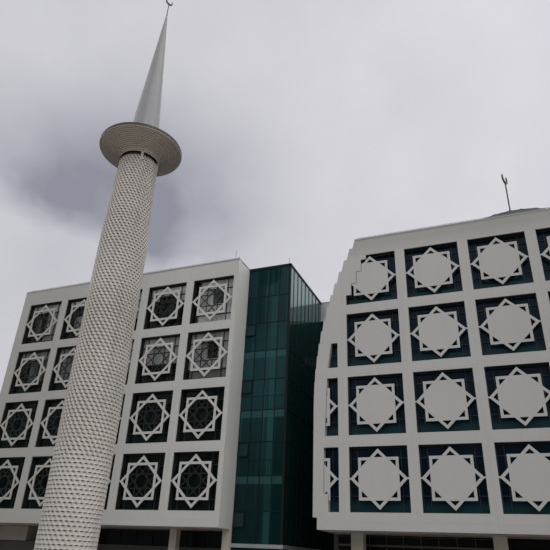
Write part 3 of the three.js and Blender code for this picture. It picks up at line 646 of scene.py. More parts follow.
bar_metal = metal("window_bar_metal", (0.012, 0.016, 0.016), 0.6)
left_first_window = LEFT_LAST_WINDOW - (LEFT_BAYS - 1) * BAY
left_window_frames = framework("left_window_frames", window_bars(left_first_window, FIRST_SILL, *LEFT_BARS))
copied(left_window_frames, LEFT_BAYS, len(STOREYS))
hand_over(left_window_frames, bar_metal, "dark_metal")

# Linings of the front windows: dark coated sheet folded round the sides and the head of every
# opening, from behind the star to the window frame. Its near-black is partly painted shade for the
# deep reveals.
LINING = 0.03
LINING_FRONT = 0.085


def window_lining(middle, sill):
    """The boxes of one window's lining."""
    left, top = middle - WINDOW_WIDTH / 2, sill + WINDOW_HEIGHT
    right = left + WINDOW_WIDTH
    return [((left, LINING_FRONT, sill), (left + LINING, FRAME_FRONT, top)),
            ((right - LINING, LINING_FRONT, sill), (right, FRAME_FRONT, top)),
            ((left, LINING_FRONT, top - LINING), (right, FRAME_FRONT, top))]


# Near-black: the lining's own dark coat, and painted shade for the reveals behind the stars.
lining_metal_and_shade = metal("window_lining_metal", (0.008, 0.010, 0.010), 0.7)
left_window_linings = framework("left_window_linings", window_lining(left_first_window, FIRST_SILL))
copied(left_window_linings, LEFT_BAYS, len(STOREYS))
hand_over(left_window_linings, lining_metal_and_shade, "dark_metal")

# Lattices in the left wing's stars: eight long dark bars in each star, in four pairs, fixed behind
# it with their ends under its rim, so that they cross as a second star with eight points.
LATTICE_FRONT = 0.12
LATTICE_BACK = 0.155
LATTICE_LINE = 0.075
LATTICE_REACH = 1.104
LATTICE_OFFSET = 0.47
LATTICE_BARS = 8
SAME_PLACE = 0.0002
star_middle = FIRST_SILL + WINDOW_HEIGHT / 2
left_star_lattices = framework("left_star_lattices", [(
    (left_first_window - LATTICE_REACH, LATTICE_FRONT, star_middle + LATTICE_OFFSET - LATTICE_LINE / 2),
    (left_first_window + LATTICE_REACH, LATTICE_BACK, star_middle + LATTICE_OFFSET + LATTICE_LINE / 2))])
edit_all()
bpy.ops.mesh.spin(steps=LATTICE_BARS, angle=math.tau, dupli=True, axis=(0.0, 1.0, 0.0),
                  center=at(left_first_window, 0, star_middle))
bpy.ops.mesh.select_all(action="SELECT")
bpy.ops.mesh.remove_doubles(threshold=SAME_PLACE)
end_edit()
copied(left_star_lattices, LEFT_BAYS, len(STOREYS))
lattice_metal = metal("lattice_metal", (0.007, 0.009, 0.009), 0.7)
hand_over(left_star_lattices, lattice_metal, "dark_metal")

# Window frames of the right wing's front: the same dark aluminium, with three bars up and two
# across. The windows that the stepped outline cuts short, at the upper corners and at both sides,
# have fewer bars.
RIGHT_BARS = ((0.13, 0.5, 0.87), (0.25, 0.82))
TOP_SILL = FIRST_SILL + 3 * STOREY
CUT_CROSSBAR = 0.9
CORNER_HEAD = 21.7
CORNER_FRAME_TOP = 18.7
CORNER_BARS = ((3.1, CORNER_HEAD), (0.46, 19.6))
EDGE_WINDOWS = ((1, -13.85), (2, -13.86), (3, -13.6))
EDGE_LAST_TOP = 15.2
EDGE_BAR = 0.5


def upright(left, low, high, width=BAR_WIDTH):
    """The box of one upright of a window that is cut short."""
    return (left, FRAME_FRONT, low), (left + width, GLASS_FRONT, high)


def crossbar(left, right, z, width=BAR_WIDTH):
    """The box of one level bar of a window that is cut short."""
    return (left, FRAME_FRONT, z), (right, GLASS_FRONT, z + width)


def mirrored(boxes):
    """The same boxes on the other side of the right wing's middle."""
    return [((-high[0], low[1], low[2]), (-low[0], high[1], high[2])) for low, high in boxes]


corner_left = -2.5 * BAY - WINDOW_WIDTH / 2
corner_right = corner_left + WINDOW_WIDTH
corner_boxes = [
    crossbar(corner_left, corner_right, TOP_SILL, FRAME_WIDTH),
    crossbar(corner_left, corner_right, TOP_SILL + CUT_CROSSBAR),
    upright(corner_left, TOP_SILL, CORNER_FRAME_TOP, FRAME_WIDTH),
    upright(corner_right - FRAME_WIDTH, TOP_SILL, CORNER_HEAD, FRAME_WIDTH)]
corner_boxes += [upright(corner_left + x, TOP_SILL, top) for x, top in CORNER_BARS]
edge_right = -3.5 * BAY + WINDOW_WIDTH / 2
edge_boxes = []
for storey, edge_left in EDGE_WINDOWS:
    sill = FIRST_SILL + STOREY * (storey - 1)
    top = min(sill + WINDOW_HEIGHT, EDGE_LAST_TOP)
    edge_boxes += [
        crossbar(edge_left, edge_right, sill, FRAME_WIDTH),
        crossbar(edge_left, edge_right, sill + CUT_CROSSBAR),
        upright(edge_right - FRAME_WIDTH, sill, top, FRAME_WIDTH),
        upright(edge_right - EDGE_BAR, sill, top)]
right_window_frames = join_pieces("right_window_frames", [
    copied(framework("whole_frames", window_bars(-2.5 * BAY, FIRST_SILL, *RIGHT_BARS)), 6, 3),
    copied(framework("top_frames", window_bars(-1.5 * BAY, TOP_SILL, *RIGHT_BARS)), 4, 1),
    framework("short_frames", corner_boxes + mirrored(corner_boxes) + edge_boxes + mirrored(edge_boxes))])
hand_over(right_window_frames, bar_metal, "dark_metal")

# Linings of the right wing's windows: the same dark sheet, partly painted shade for the reveals. It
# follows the four steps of the corner windows, and covers only the head of the cut ones at both sides.
CORNER_STEP = 0.38
CORNER_COURSE = 0.9
CORNER_STEPS = 4
CORNER_FIRST_STEP = 18.75
EDGE_LININGS = ((-14.10, FIRST_SILL + WINDOW_HEIGHT), (-13.88, FIRST_SILL + STOREY + WINDOW_HEIGHT),
                (-13.59, 15.24))
top_head = TOP_SILL + WINDOW_HEIGHT
last_step = corner_left + CORNER_STEP * CORNER_STEPS
cut_lining = [
    ((last_step, LINING_FRONT, top_head - LINING), (corner_right, FRAME_FRONT, top_head)),
    ((corner_right - LINING, LINING_FRONT, TOP_SILL), (corner_right, FRAME_FRONT, top_head))]
for step in range(CORNER_STEPS):
    x, z = corner_left + CORNER_STEP * step, CORNER_FIRST_STEP + CORNER_COURSE * step
    cut_lining += [((x, LINING_FRONT, z - LINING), (x + CORNER_STEP, FRAME_FRONT, z)),
                   ((x, LINING_FRONT, max(z - CORNER_COURSE, TOP_SILL)), (x + LINING, FRAME_FRONT, z))]
for edge_left, top in EDGE_LININGS:
    cut_lining.append(((edge_left, LINING_FRONT, top - LINING), (edge_right, FRAME_FRONT, top)))
right_window_linings = join_pieces("right_window_linings", [
    copied(framework("whole_linings", window_lining(-2.5 * BAY, FIRST_SILL)), 6, 3),
    copied(framework("top_linings", window_lining(-1.5 * BAY, TOP_SILL)), 4, 1),
    framework("short_linings", cut_lining + mirrored(cut_lining))])
hand_over(right_window_linings, lining_metal_and_shade, "dark_metal")

# Window frames at the left end and along the back: the same dark aluminium as in front, plain and
# without stars, with two bars up and one across in each.
PLAIN_BARS = ((0.33, 0.67), (0.25,))
LEFT_END = -43.15
WALL = 0.3
DEPTH = 25.4
BACK_WINDOWS = ((left_first_window, LEFT_BAYS, 4), (-3.5 * BAY, 6, 4), (2.5 * BAY, 1, 3))
end_bars = window_bars(END_MIDDLE - 2 * BAY, FIRST_SILL, *PLAIN_BARS, WALL - FRAME_DEPTH)
end_window_frames = framework("end_window_frames", [
    ((LEFT_END + low[1], low[0], low[2]), (LEFT_END + high[1], high[0], high[2])) for low, high in end_bars])
copied(end_window_frames, 5, 4, y=BAY)
hand_over(end_window_frames, bar_metal, "dark_metal")

back_front = DEPTH - WALL
back_frames = [
    copied(framework("back_frames", window_bars(middle, FIRST_SILL, *PLAIN_BARS, back_front)), bays, storeys)
    for middle, bays, storeys in BACK_WINDOWS]
to_back = back_front - FRAME_FRONT
back_frames.append(framework("back_corner_frames", [
    ((low[0], low[1] + to_back, low[2]), (high[0], high[1] + to_back, high[2]))
    for low, high in mirrored(corner_boxes)]))
back_window_frames = join_pieces("back_window_frames", back_frames)
hand_over(back_window_frames, bar_metal, "dark_metal")

# Copings: thin folded sheet of a light grey, clipped over the top of every parapet, with a small
# drip on both faces.
PARAPET_TOP = 23.18
COPING_RISE = 0.05
COPING_DRIP = 0.08
COPING_OVER = 0.02
COPING_CHAMFER = 0.008
LEFT_FRONT_CORNER = -21.17
LINK_FRONT = 10.04
SCREEN_DEPTH = 0.45
HALL_WALL = 0.45
HALL_TOP = 11.75


def coping(x0, x1, y0, y1):
    """The boxes of one straight coping round the top of a wall: its cap and its two drips."""
    low, high = PARAPET_TOP - COPING_DRIP, PARAPET_TOP + COPING_RISE
    left, right, front, back = x0 - COPING_OVER, x1 + COPING_OVER, y0 - COPING_OVER, y1 + COPING_OVER
    cap = ((left, front, PARAPET_TOP), (right, back, high))
    if x1 - x0 > y1 - y0:
        return [cap, ((x0, front, low), (x1, y0, PARAPET_TOP)), ((x0, y1, low), (x1, back, PARAPET_TOP))]
    return [cap, ((left, y0, low), (x0, y1, PARAPET_TOP)), ((x1, y0, low), (right, y1, PARAPET_TOP))]


coping_runs = [
    (LEFT_END, LEFT_FRONT_CORNER, 0.0, SCREEN_DEPTH), (LEFT_END, LEFT_END + WALL, SCREEN_DEPTH, back_front),
    (LEFT_END, HALL_TOP, back_front, DEPTH),
    (LEFT_FRONT_CORNER - WALL, LEFT_FRONT_CORNER, SCREEN_DEPTH, LINK_FRONT),
    (-HALL_TOP, HALL_TOP, 0.0, SCREEN_DEPTH),
    (-HALL_TOP, -HALL_TOP + HALL_WALL, SCREEN_DEPTH, LINK_FRONT + WALL),
    (HALL_TOP - HALL_WALL, HALL_TOP, SCREEN_DEPTH, back_front),
    (LEFT_FRONT_CORNER, -HALL_TOP, LINK_FRONT, LINK_FRONT + WALL)]
parapet_copings = framework(
    "parapet_copings", [box for run in coping_runs for box in coping(*run)], COPING_CHAMFER)
coping_metal = metal("coping_metal", (0.36, 0.355, 0.345), 0.6)
hand_over(parapet_copings, coping_metal, "white_panel")

# Lightning conductor: a round wire on short stands along both front parapets, with an upright
# catching rod at the left wing's corner and at the tower's.
WIRE_WIDTH = 0.024
WIRE_LINE = 0.22
WIRE_RISE = 0.24
WIRE_IN = 0.1
STAND_WIDTH = 0.04
STAND_FIRST = 0.4
STAND_OVER = 0.03
STANDS = 11
ROD_WIDTH = 0.03
RODS = ((-21.635, 0.225, 24.15), (-17.705, 2.115, 23.75))
coping_top = PARAPET_TOP + COPING_RISE
wire_z = PARAPET_TOP + WIRE_RISE


def post(x, y, high, width):
    """The box of one squared upright that stands on a coping."""
    return (x - width / 2, y - width / 2, coping_top), (x + width / 2, y + width / 2, high)


def wire(x0, x1):
    """A level wire between two places and its stands, the first one a little way in."""
    half = WIRE_WIDTH / 2
    boxes = [((x0, WIRE_LINE - half, wire_z - half), (x1, WIRE_LINE + half, wire_z + half))]
    return boxes + [post(x0 + STAND_FIRST + BAY / 2 * stand, WIRE_LINE, wire_z + STAND_OVER, STAND_WIDTH)
                    for stand in range(STANDS)]


lightning_conductor = framework(
    "lightning_conductor", wire(LEFT_END + WIRE_IN, LEFT_FRONT_CORNER - WIRE_IN)
    + wire(-HALL_TOP + WIRE_IN, HALL_TOP - WIRE_IN) + [post(x, y, top, ROD_WIDTH) for x, y, top in RODS])
conductor_metal = metal("conductor_metal", (0.30, 0.30, 0.30), 0.5, 0.5)
hand_over(lightning_conductor, conductor_metal, "dark_metal")

# Glass tower: a curtain wall of dark teal body-tinted glass round its corner. The floor edges, the
# guards on them and a curtain show faintly in it, with painted light in vertical streaks and painted
# shade at its foot and lower right; its upper side has a painted view of the lit parapet and sky.
TOWER_FRONT = 2.04
TOWER_RIGHT = -17.56
TOWER_PANE = 0.9025
TOWER_SIDE_PANE = 0.93
TRANSOM_FIRST = 4.68
TRANSOM_STEP = 2.265
TEAL_LOW = (0.0080, 0.0235, 0.0225)
TEAL_MIDDLE = (0.0175, 0.0590, 0.0670)
TEAL_HIGH = (0.0080, 0.0310, 0.0360)
TEAL_LIT = (0.024, 0.096, 0.096)
TEAL_DEEP = (0.0020, 0.0160, 0.0175)
TEAL_TINT = (0.7, 0.95, 1.0)
MIDDLE_RISE = (6.5, 12.0)
HIGH_RISE = (15.5, 18.5)
FOOT_SHADE_RISE = (4.2, 6.0)
RIGHT_SHADE_RISE = (10.8, 11.8)
RIGHT_SHADE_ACROSS = (-18.5, -18.3)
CURTAIN = (-18.97, -18.44)
CURTAIN_TOP = 20.5
CURTAIN_SOFT = 0.12
FLOOR_EDGE = (0.034, 0.100, 0.098)
FLOOR_EDGE_DEPTH = 0.5
FLOOR_EDGE_DROP = 0.55
FLOORS_SEEN_TO = 17.0
GUARD_TOP = 1.6
GUARD_RAIL = 0.08
GUARD_BAR = 0.02
GUARD_BAR_STEP = 0.2
TEAL_SIDE = (0.0045, 0.0260, 0.0270)
TEAL_SIDE_HIGH = (0.052, 0.102, 0.108)
TEAL_SIDE_TOP = (0.185, 0.265, 0.280)
SIDE_HIGH_LINE = (2.25, 18.28, 0.385)
SIDE_TOP_LINE = (2.17, 19.34, 0.485)
FAR_EDGE = (0.026, 0.041, 0.044)
FAR_EDGE_LOW_LINE = (5.9, 15.83, 0.325)
FAR_EDGE_HIGH_LINE = (5.9, 16.49, 0.325)
FAR_EDGE_FROM = 5.3
tower_glass, tower_tree, tower_shader = new_material("tower_glass", GLASS_ROUGHNESS)
tower_place = axes(tower_tree, object_coordinates(tower_tree))
tower_x, tower_y, tower_z = (tower_place[axis] for axis in "XYZ")
pane_tone = wall_grid(tower_tree, LEFT_FRONT_CORNER, TOWER_PANE, TRANSOM_FIRST, TRANSOM_STEP,
                      y_start=TOWER_FRONT, y_pitch=TOWER_SIDE_PANE).outputs["Tint"]


def layered(tree, colour, *layers):
    """Colours laid over a first one, each by its own share."""
    for share, over in layers:
        colour = blend_colours(tree, share, colour, over)
    return colour


def rising(heights, to_low=0.0, to_high=1.0):
    """A share of the tower's glass that changes between two heights."""
    low, high = heights
    return spread(tower_tree, tower_z, size(low), size(high), to_low, to_high)


def strip(value, low, high):
    """A mask of the tower's glass between two values, with hard edges."""
    return product(tower_tree, calc(tower_tree, "GREATER_THAN", value, low),
                   calc(tower_tree, "LESS_THAN", value, high))


def above_line(y, z, slope):
    """A mask of the side glass above a line that rises to the back from a place on it."""
    rise = product(tower_tree, calc(tower_tree, "SUBTRACT", tower_y, inwards(y)), slope)
    return calc(tower_tree, "GREATER_THAN", calc(tower_tree, "SUBTRACT", tower_z, rise), size(z))


streak_place = stretched(tower_tree, object_coordinates(tower_tree), STREAK_SCALE, STREAK_SCALE, 0.22)
streaks = product(tower_tree, spread(tower_tree, noise(tower_tree, streak_place, 1.0, 3.0), 0.48, 0.72, 0.0, 0.6),
                spread(tower_tree, pane_tone, 0.0, 1.0, 0.2, 1.0))
shade_left, shade_right = (across(x) for x in RIGHT_SHADE_ACROSS)
right_shade = product(tower_tree, rising(RIGHT_SHADE_RISE, 1.0, 0.0),
                      spread(tower_tree, tower_x, shade_left, shade_right, 0.0, 0.85))
curtain_left, curtain_right = (across(x) for x in CURTAIN)
soft = (curtain_right - curtain_left) * CURTAIN_SOFT
curtain = product(
    tower_tree, spread(tower_tree, tower_x, curtain_left - soft, curtain_left + soft),
    spread(tower_tree, tower_x, curtain_right - soft, curtain_right + soft, 1.0, 0.0),
    spread(tower_tree, pane_tone, 0.0, 1.0, 0.22, 0.65),
    calc(tower_tree, "LESS_THAN", tower_z, size(CURTAIN_TOP)))
first_edge = size(TRANSOM_FIRST - TRANSOM_STEP - FLOOR_EDGE_DROP)
over_edge = calc(tower_tree, "MODULO", calc(tower_tree, "SUBTRACT", tower_z, first_edge),
                 size(2 * TRANSOM_STEP))
floors_seen = strip(tower_z, size(TRANSOM_FIRST), size(FLOORS_SEEN_TO))
floor_edges = product(
    tower_tree, calc(tower_tree, "LESS_THAN", over_edge, size(FLOOR_EDGE_DEPTH)),
    spread(tower_tree, streaks, 0.0, 0.5, 0.65, 0.95), floors_seen)
guard_rail = strip(over_edge, size(GUARD_TOP - GUARD_RAIL), size(GUARD_TOP))
from_bar = calc(tower_tree, "PINGPONG", tower_x, size(GUARD_BAR_STEP / 2))
guard_bars = product(tower_tree, strip(over_edge, size(FLOOR_EDGE_DEPTH), size(GUARD_TOP)),
                     calc(tower_tree, "LESS_THAN", from_bar, size(GUARD_BAR)))
guards = product(tower_tree, calc(tower_tree, "MAXIMUM", guard_rail, guard_bars), floors_seen, 0.75)
# Painted light in vertical streaks; painted shade at the foot and at the lower right.
front_teal = layered(
    tower_tree, TEAL_LOW, (rising(MIDDLE_RISE), TEAL_MIDDLE), (rising(HIGH_RISE), TEAL_HIGH),
    (spread(tower_tree, pane_tone, 0.0, 1.0, 0.0, 0.5), TEAL_DEEP), (streaks, TEAL_LIT),
    (right_shade, TEAL_DEEP), (rising(FOOT_SHADE_RISE, 0.6, 0.0), TEAL_DEEP), (curtain, TEAL_LIT),
    (floor_edges, FLOOR_EDGE), (guards, TEAL_DEEP))
# A painted view through the side glass: the far parapet's edge, and above slanting lines the lit parapet and
# the pale sky beyond.
far_edge = product(
    tower_tree, calc(tower_tree, "GREATER_THAN", tower_y, inwards(FAR_EDGE_FROM)),
    calc(tower_tree, "SUBTRACT", above_line(*FAR_EDGE_LOW_LINE), above_line(*FAR_EDGE_HIGH_LINE)))
side_teal = layered(
    tower_tree, TEAL_SIDE, (product(tower_tree, streaks, 0.10), TEAL_LIT), (far_edge, FAR_EDGE),
    (above_line(*SIDE_HIGH_LINE), TEAL_SIDE_HIGH), (above_line(*SIDE_TOP_LINE), TEAL_SIDE_TOP))
on_side = calc(tower_tree, "GREATER_THAN", tower_y, inwards(TOWER_FRONT + 0.01))
teal = blend_colours(tower_tree, on_side, front_teal, side_teal)
tower_tree.links.new(teal, tower_shader.inputs["Base Color"])
mirror_sky(tower_glass, GLASS_MIRROR, TEAL_TINT)
dress(tower_glass, "tower_glass")

# Caps, transoms and coping of the tower: dark aluminium strips pressed on over the joints of the
# glass from outside, a post round the corner, and a thick folded coping on top.
CAP_WIDTH = 0.06
CAP_DEPTH = 0.03
TRANSOM_DEPTH = CAP_DEPTH * 0.8
CORNER_POST = 0.12
CORNER_POST_DEPTH = CAP_DEPTH * 1.5
SIDE_CAP_FIRST = 2.85
SIDE_CAPS = 8
LOWEST_TRANSOM = 0.1
TRANSOMS = 8
SIDE_TRANSOMS = 7
TOWER_COPING_OVER = 0.06
TOWER_COPING_IN = 0.14
TOWER_COPING_CHAMFER = 0.012
TOWER_COPING_LOW = PARAPET_TOP - 0.16
TOWER_COPING_HIGH = PARAPET_TOP + 0.04
cap_metal = metal("tower_cap_metal", (0.0050, 0.0120, 0.0125), 0.6)
mirror_sky(cap_metal, 0.2)
tower_bars = [
    ((LEFT_FRONT_CORNER, TOWER_FRONT - CAP_DEPTH, 0.0),
     (LEFT_FRONT_CORNER + CAP_WIDTH, TOWER_FRONT, PARAPET_TOP)),
    ((TOWER_RIGHT - CORNER_POST, TOWER_FRONT - CORNER_POST_DEPTH, 0.0),
     (TOWER_RIGHT + CORNER_POST_DEPTH, TOWER_FRONT + CORNER_POST, PARAPET_TOP))]
for pane in (1, 2, 3):
    x = LEFT_FRONT_CORNER + TOWER_PANE * pane
    tower_bars.append(((x - CAP_WIDTH / 2, TOWER_FRONT - CAP_DEPTH, 0.0),
                       (x + CAP_WIDTH / 2, TOWER_FRONT, PARAPET_TOP)))
for pane in range(SIDE_CAPS):
    y = SIDE_CAP_FIRST + TOWER_SIDE_PANE * pane
    tower_bars.append(((TOWER_RIGHT, y - CAP_WIDTH, 0.0),
                       (TOWER_RIGHT + CAP_DEPTH, y + CAP_WIDTH, PARAPET_TOP)))
transom_heights = [TRANSOM_FIRST + TRANSOM_STEP * step for step in range(TRANSOMS)]
for line, z in enumerate([LOWEST_TRANSOM] + transom_heights):
    low, high = z - CAP_WIDTH / 2, z + CAP_WIDTH / 2
    tower_bars.append(((LEFT_FRONT_CORNER, TOWER_FRONT - TRANSOM_DEPTH, low),
                       (TOWER_RIGHT, TOWER_FRONT, high)))
    if line < SIDE_TRANSOMS:
        tower_bars.append(((TOWER_RIGHT, TOWER_FRONT, low),
                           (TOWER_RIGHT + TRANSOM_DEPTH, LINK_FRONT, high)))
tower_caps = framework("tower_caps", tower_bars)
hand_over(tower_caps, cap_metal, "dark_metal")
coping_front, coping_right = TOWER_FRONT - TOWER_COPING_OVER, TOWER_RIGHT + TOWER_COPING_OVER
tower_coping = framework("tower_coping", [
    ((LEFT_FRONT_CORNER, coping_front, TOWER_COPING_LOW),
     (coping_right, TOWER_FRONT + TOWER_COPING_IN, TOWER_COPING_HIGH)),
    ((TOWER_RIGHT - TOWER_COPING_IN, coping_front, TOWER_COPING_LOW),
     (coping_right, LINK_FRONT, TOWER_COPING_HIGH))], TOWER_COPING_CHAMFER)
hand_over(tower_coping, cap_metal, "dark_metal")

# Opening lights of the tower: one narrow top-hung sash a storey beside the white wall, standing a
# little open at the bottom.
SASH_HINGE = 18.19
SASH_HEIGHT = 0.95
SASH_OPEN = 5.0
SASHES = 4
SASH_FROM_WALL = 0.08
SASH_FROM_CAP = 0.05
SASH_PROUD = 0.06
SASH_OFF_GLASS = 0.01
SASH_BAR = 0.05
SASH_FOOT = 0.07
SASH_OVERLAP = 0.01
SASH_PANE_FRONT = 0.015
SASH_PANE = 0.02
sash_left, sash_right = LEFT_FRONT_CORNER + SASH_FROM_WALL, LEFT_FRONT_CORNER + TOWER_PANE - SASH_FROM_CAP
sash_near, sash_far = TOWER_FRONT - SASH_PROUD, TOWER_FRONT - SASH_OFF_GLASS
sash_low = SASH_HINGE - SASH_HEIGHT


def turn(axis, degrees, centre):
    """Turns what is selected in editing about an axis through a place."""
    bpy.ops.transform.rotate(value=math.radians(degrees), orient_axis=axis, center_override=centre)


def tower_sash(name, boxes):
    """One leaf, turned out about its head, and its copies on the storeys below."""
    leaf = framework(name, boxes)
    edit_all()
    turn("X", SASH_OPEN, at(sash_left, TOWER_FRONT, SASH_HINGE))
    end_edit()
    repeat(leaf, SASHES, z=-2 * TRANSOM_STEP)
    return leaf


tower_sash_frames = tower_sash("tower_sash_frames", [
    ((sash_left, sash_near, sash_low), (sash_left + SASH_BAR, sash_far, SASH_HINGE)),
    ((sash_right - SASH_BAR, sash_near, sash_low), (sash_right, sash_far, SASH_HINGE)),
    ((sash_left, sash_near, sash_low), (sash_right, sash_far, sash_low + SASH_FOOT)),
    ((sash_left, sash_near, SASH_HINGE - SASH_BAR), (sash_right, sash_far, SASH_HINGE))])
hand_over(tower_sash_frames, cap_metal, "dark_metal")
pane_side, pane_front = SASH_BAR - SASH_OVERLAP, sash_near + SASH_PANE_FRONT
tower_sash_panes = tower_sash("tower_sash_panes", [
    ((sash_left + pane_side, pane_front, sash_low + SASH_FOOT - SASH_OVERLAP),
     (sash_right - pane_side, pane_front + SASH_PANE, SASH_HINGE - pane_side))])
sash_glass = metal("sash_glass", (0.013, 0.040, 0.041), 0.5)
mirror_sky(sash_glass, 0.1)
hand_over(tower_sash_panes, sash_glass, "teal_glass")

# Tower band, tower roof and the link: a folded light band over the tower's foot, a membrane roof,
# and behind them the link's dark glass in dark caps, under a light sheet parapet with one joint.
LINK_RIGHT = -14.85
LINK_UPRIGHTS = (-16.6, -15.7)
LINK_GLASS_TOP = 21.33
LINK_JOINT = ((-16.32, LINK_FRONT - 0.012, 21.4), (-16.28, LINK_FRONT, PARAPET_TOP - 0.1))
dress(metal("light_band_metal", (0.42, 0.44, 0.44), 0.4, 0.3), "tower_band")
dress(metal("link_sheet", (0.44, 0.445, 0.44), 0.5, 0.1), "link_parapet")
dress(wing_glass("link_glass", (0.003, 0.007, 0.008), TOWER_RIGHT, 1.0, TRANSOM_FIRST), "link_glass")
link_bars = [LINK_JOINT]
for z in transom_heights:
    link_bars.append(((TOWER_RIGHT, LINK_FRONT - CAP_DEPTH, z - CAP_WIDTH / 2),
                      (LINK_RIGHT, LINK_FRONT, z + CAP_WIDTH / 2)))
for x in LINK_UPRIGHTS:
    link_bars.append(((x - CAP_WIDTH / 2, LINK_FRONT - CAP_DEPTH, 0.0),
                      (x + CAP_WIDTH / 2, LINK_FRONT, LINK_GLASS_TOP)))
link_caps = framework("link_caps", link_bars)
hand_over(link_caps, cap_metal, "dark_metal")

# Ground floor of the left wing: near-black green shop-front glass set back under the wing, in dark
# posts, over a dark sill band. At the far left a beige bulkhead hangs under the wing, with a brown
# panel below it.
GROUND_FRONT = 3.6
GROUND_POST = 0.05
GROUND_POST_FRONT = GROUND_FRONT - 0.09
LEFT_POSTS = 14
GROUND_POST_TOP = 3.46
LEFT_RAILS = ((0.0, 0.12), (3.38, 3.46))
LEFT_RAIL_BACK = 0.01
LEFT_SHOP = (-42.5, -21.5)
LEFT_BAND = (1.72, 2.39)
LEFT_BAND_PROUD = 0.03
LEFT_BAND_GAP = 0.05
LEFT_BAND_CHAMFER = 0.01
BULKHEAD_FRONT = 2.5
BULKHEAD_LEFT = -42.7
BULKHEAD_RIGHT = -39.2
BULKHEAD_RISE = (2.42, 3.45)
PANEL_RIGHT = BULKHEAD_RIGHT + 0.9
PANEL_RISE = (0.02, 2.41)
PANEL_BACK = 0.1
SHEET_CHAMFER = 0.02
left_ground_glass = wing_glass("left_ground_glass", (0.0060, 0.0095, 0.0080), LEFT_LAST_WINDOW, BAY / 3, 0.0)
dress(left_ground_glass, "left_ground_glass")
left_posts = []
for line in range(1, LEFT_POSTS + 1):
    x = LEFT_LAST_WINDOW + BAY / 2 - BAY / 3 * line
    left_posts.append(((x - GROUND_POST / 2, GROUND_POST_FRONT, 0.0),
                       (x + GROUND_POST / 2, GROUND_FRONT, GROUND_POST_TOP)))
shop_left, shop_right = LEFT_SHOP
for low, high in LEFT_RAILS:
    left_posts.append(((shop_left, GROUND_POST_FRONT + LEFT_RAIL_BACK, low),
                       (shop_right, GROUND_FRONT, high)))
left_ground_posts = framework("left_ground_posts", left_posts)
hand_over(left_ground_posts, metal("ground_metal", (0.010, 0.012, 0.011), 0.5, 0.5), "dark_metal")
low, high = LEFT_BAND
left_ground_band = framework("left_ground_band", [
    ((PANEL_RIGHT + LEFT_BAND_GAP, GROUND_POST_FRONT - LEFT_BAND_PROUD, low),
     (shop_right, GROUND_FRONT, high))], LEFT_BAND_CHAMFER)
hand_over(left_ground_band, metal("sill_metal", (0.062, 0.066, 0.060), 0.5, 0.1), "dark_metal")
low, high = BULKHEAD_RISE
ground_bulkhead = framework("ground_bulkhead", [
    ((BULKHEAD_LEFT, BULKHEAD_FRONT, low), (BULKHEAD_RIGHT, GROUND_POST_FRONT, high))], SHEET_CHAMFER)
hand_over(ground_bulkhead, metal("bulkhead_sheet", (0.36, 0.33, 0.275), 0.6), "concrete")
low, high = PANEL_RISE
ground_panel = framework("ground_panel", [
    ((BULKHEAD_LEFT, BULKHEAD_FRONT + PANEL_BACK, low),
     (PANEL_RIGHT, GROUND_POST_FRONT, high))], SHEET_CHAMFER)
hand_over(ground_panel, metal("panel_sheet", (0.072, 0.054, 0.053), 0.6), "concrete")

# Ground floor of the right wing: bronze-black glass in slim pale posts a metre apart between the
# columns, over a beige transom at the height of the doors. The middle bay has the plain doorway in
# a brown frame, and the side wall to the west is clad in the same dark brown sheet.
DOOR_HALF_WIDTH = 3.2
DOOR_HEIGHT = 2.8
DOOR_RISE = (0.1, DOOR_HEIGHT)
DOOR_POST = 0.12
DOOR_POST_IN = 0.08
DOOR_HEAD = 0.08
BEIGE_BAND = (2.81, 2.92)
HEAD_RAIL = (3.36, 3.40)
FOOT_RAIL = (0.0, 0.1)
MULLION_FIRST = 5.80
MULLION_STEP = 1.065
MULLION_LINES = 8
MULLION_WIDTH = 0.032
LEVEL_BAR_PROUD = 0.01
MIDDLE_BAY = 4.9
GROUND_END = 14.2
GROUND_PANE = 1.05
right_ground_glass = wing_glass("right_ground_glass", (0.0048, 0.0042, 0.0030), 0.0, GROUND_PANE, 0.0)
dress(right_ground_glass, "right_ground_glass")


def ground_bar(side, near, far, rise, proud):
    """The box of one bar on one side of the middle, between two distances from it and two heights."""
    left, right = sorted((side * near, side * far))
    return (left, GROUND_POST_FRONT - proud, rise[0]), (right, GROUND_FRONT, rise[1])


right_posts, brown_bars = [], []
for side in (-1, 1):
    for line in range(MULLION_LINES):
        near = MULLION_FIRST + MULLION_STEP * line - MULLION_WIDTH / 2
        right_posts.append(ground_bar(side, near, near + MULLION_WIDTH, (0.0, GROUND_POST_TOP), 0.0))
    right_posts.append(ground_bar(side, MIDDLE_BAY, GROUND_END, BEIGE_BAND, LEVEL_BAR_PROUD))
    brown_bars.append(ground_bar(side, MIDDLE_BAY, GROUND_END, HEAD_RAIL, -LEVEL_BAR_PROUD))
    brown_bars.append(ground_bar(side, DOOR_HALF_WIDTH, GROUND_END, FOOT_RAIL, -LEVEL_BAR_PROUD))
    low, high = ground_bar(side, DOOR_HALF_WIDTH, DOOR_HALF_WIDTH + DOOR_POST, DOOR_RISE, 0.0)
    brown_bars.append((low, (high[0], high[1] + DOOR_POST_IN, high[2])))
brown_bars.append(((-DOOR_HALF_WIDTH, GROUND_POST_FRONT, DOOR_HEIGHT),
                   (DOOR_HALF_WIDTH, GROUND_FRONT, DOOR_HEIGHT + DOOR_HEAD)))
right_ground_posts = framework("right_ground_posts", right_posts)
hand_over(right_ground_posts, metal("pale_post_metal", (0.115, 0.100, 0.088), 0.45, 0.5), "light_band")
brown_metal = metal("brown_metal", (0.040, 0.031, 0.027), 0.5, 0.1)
doorway_frame = framework("doorway_frame", brown_bars)
hand_over(doorway_frame, brown_metal, "dark_metal")
dress(brown_metal, "ground_west_wall")

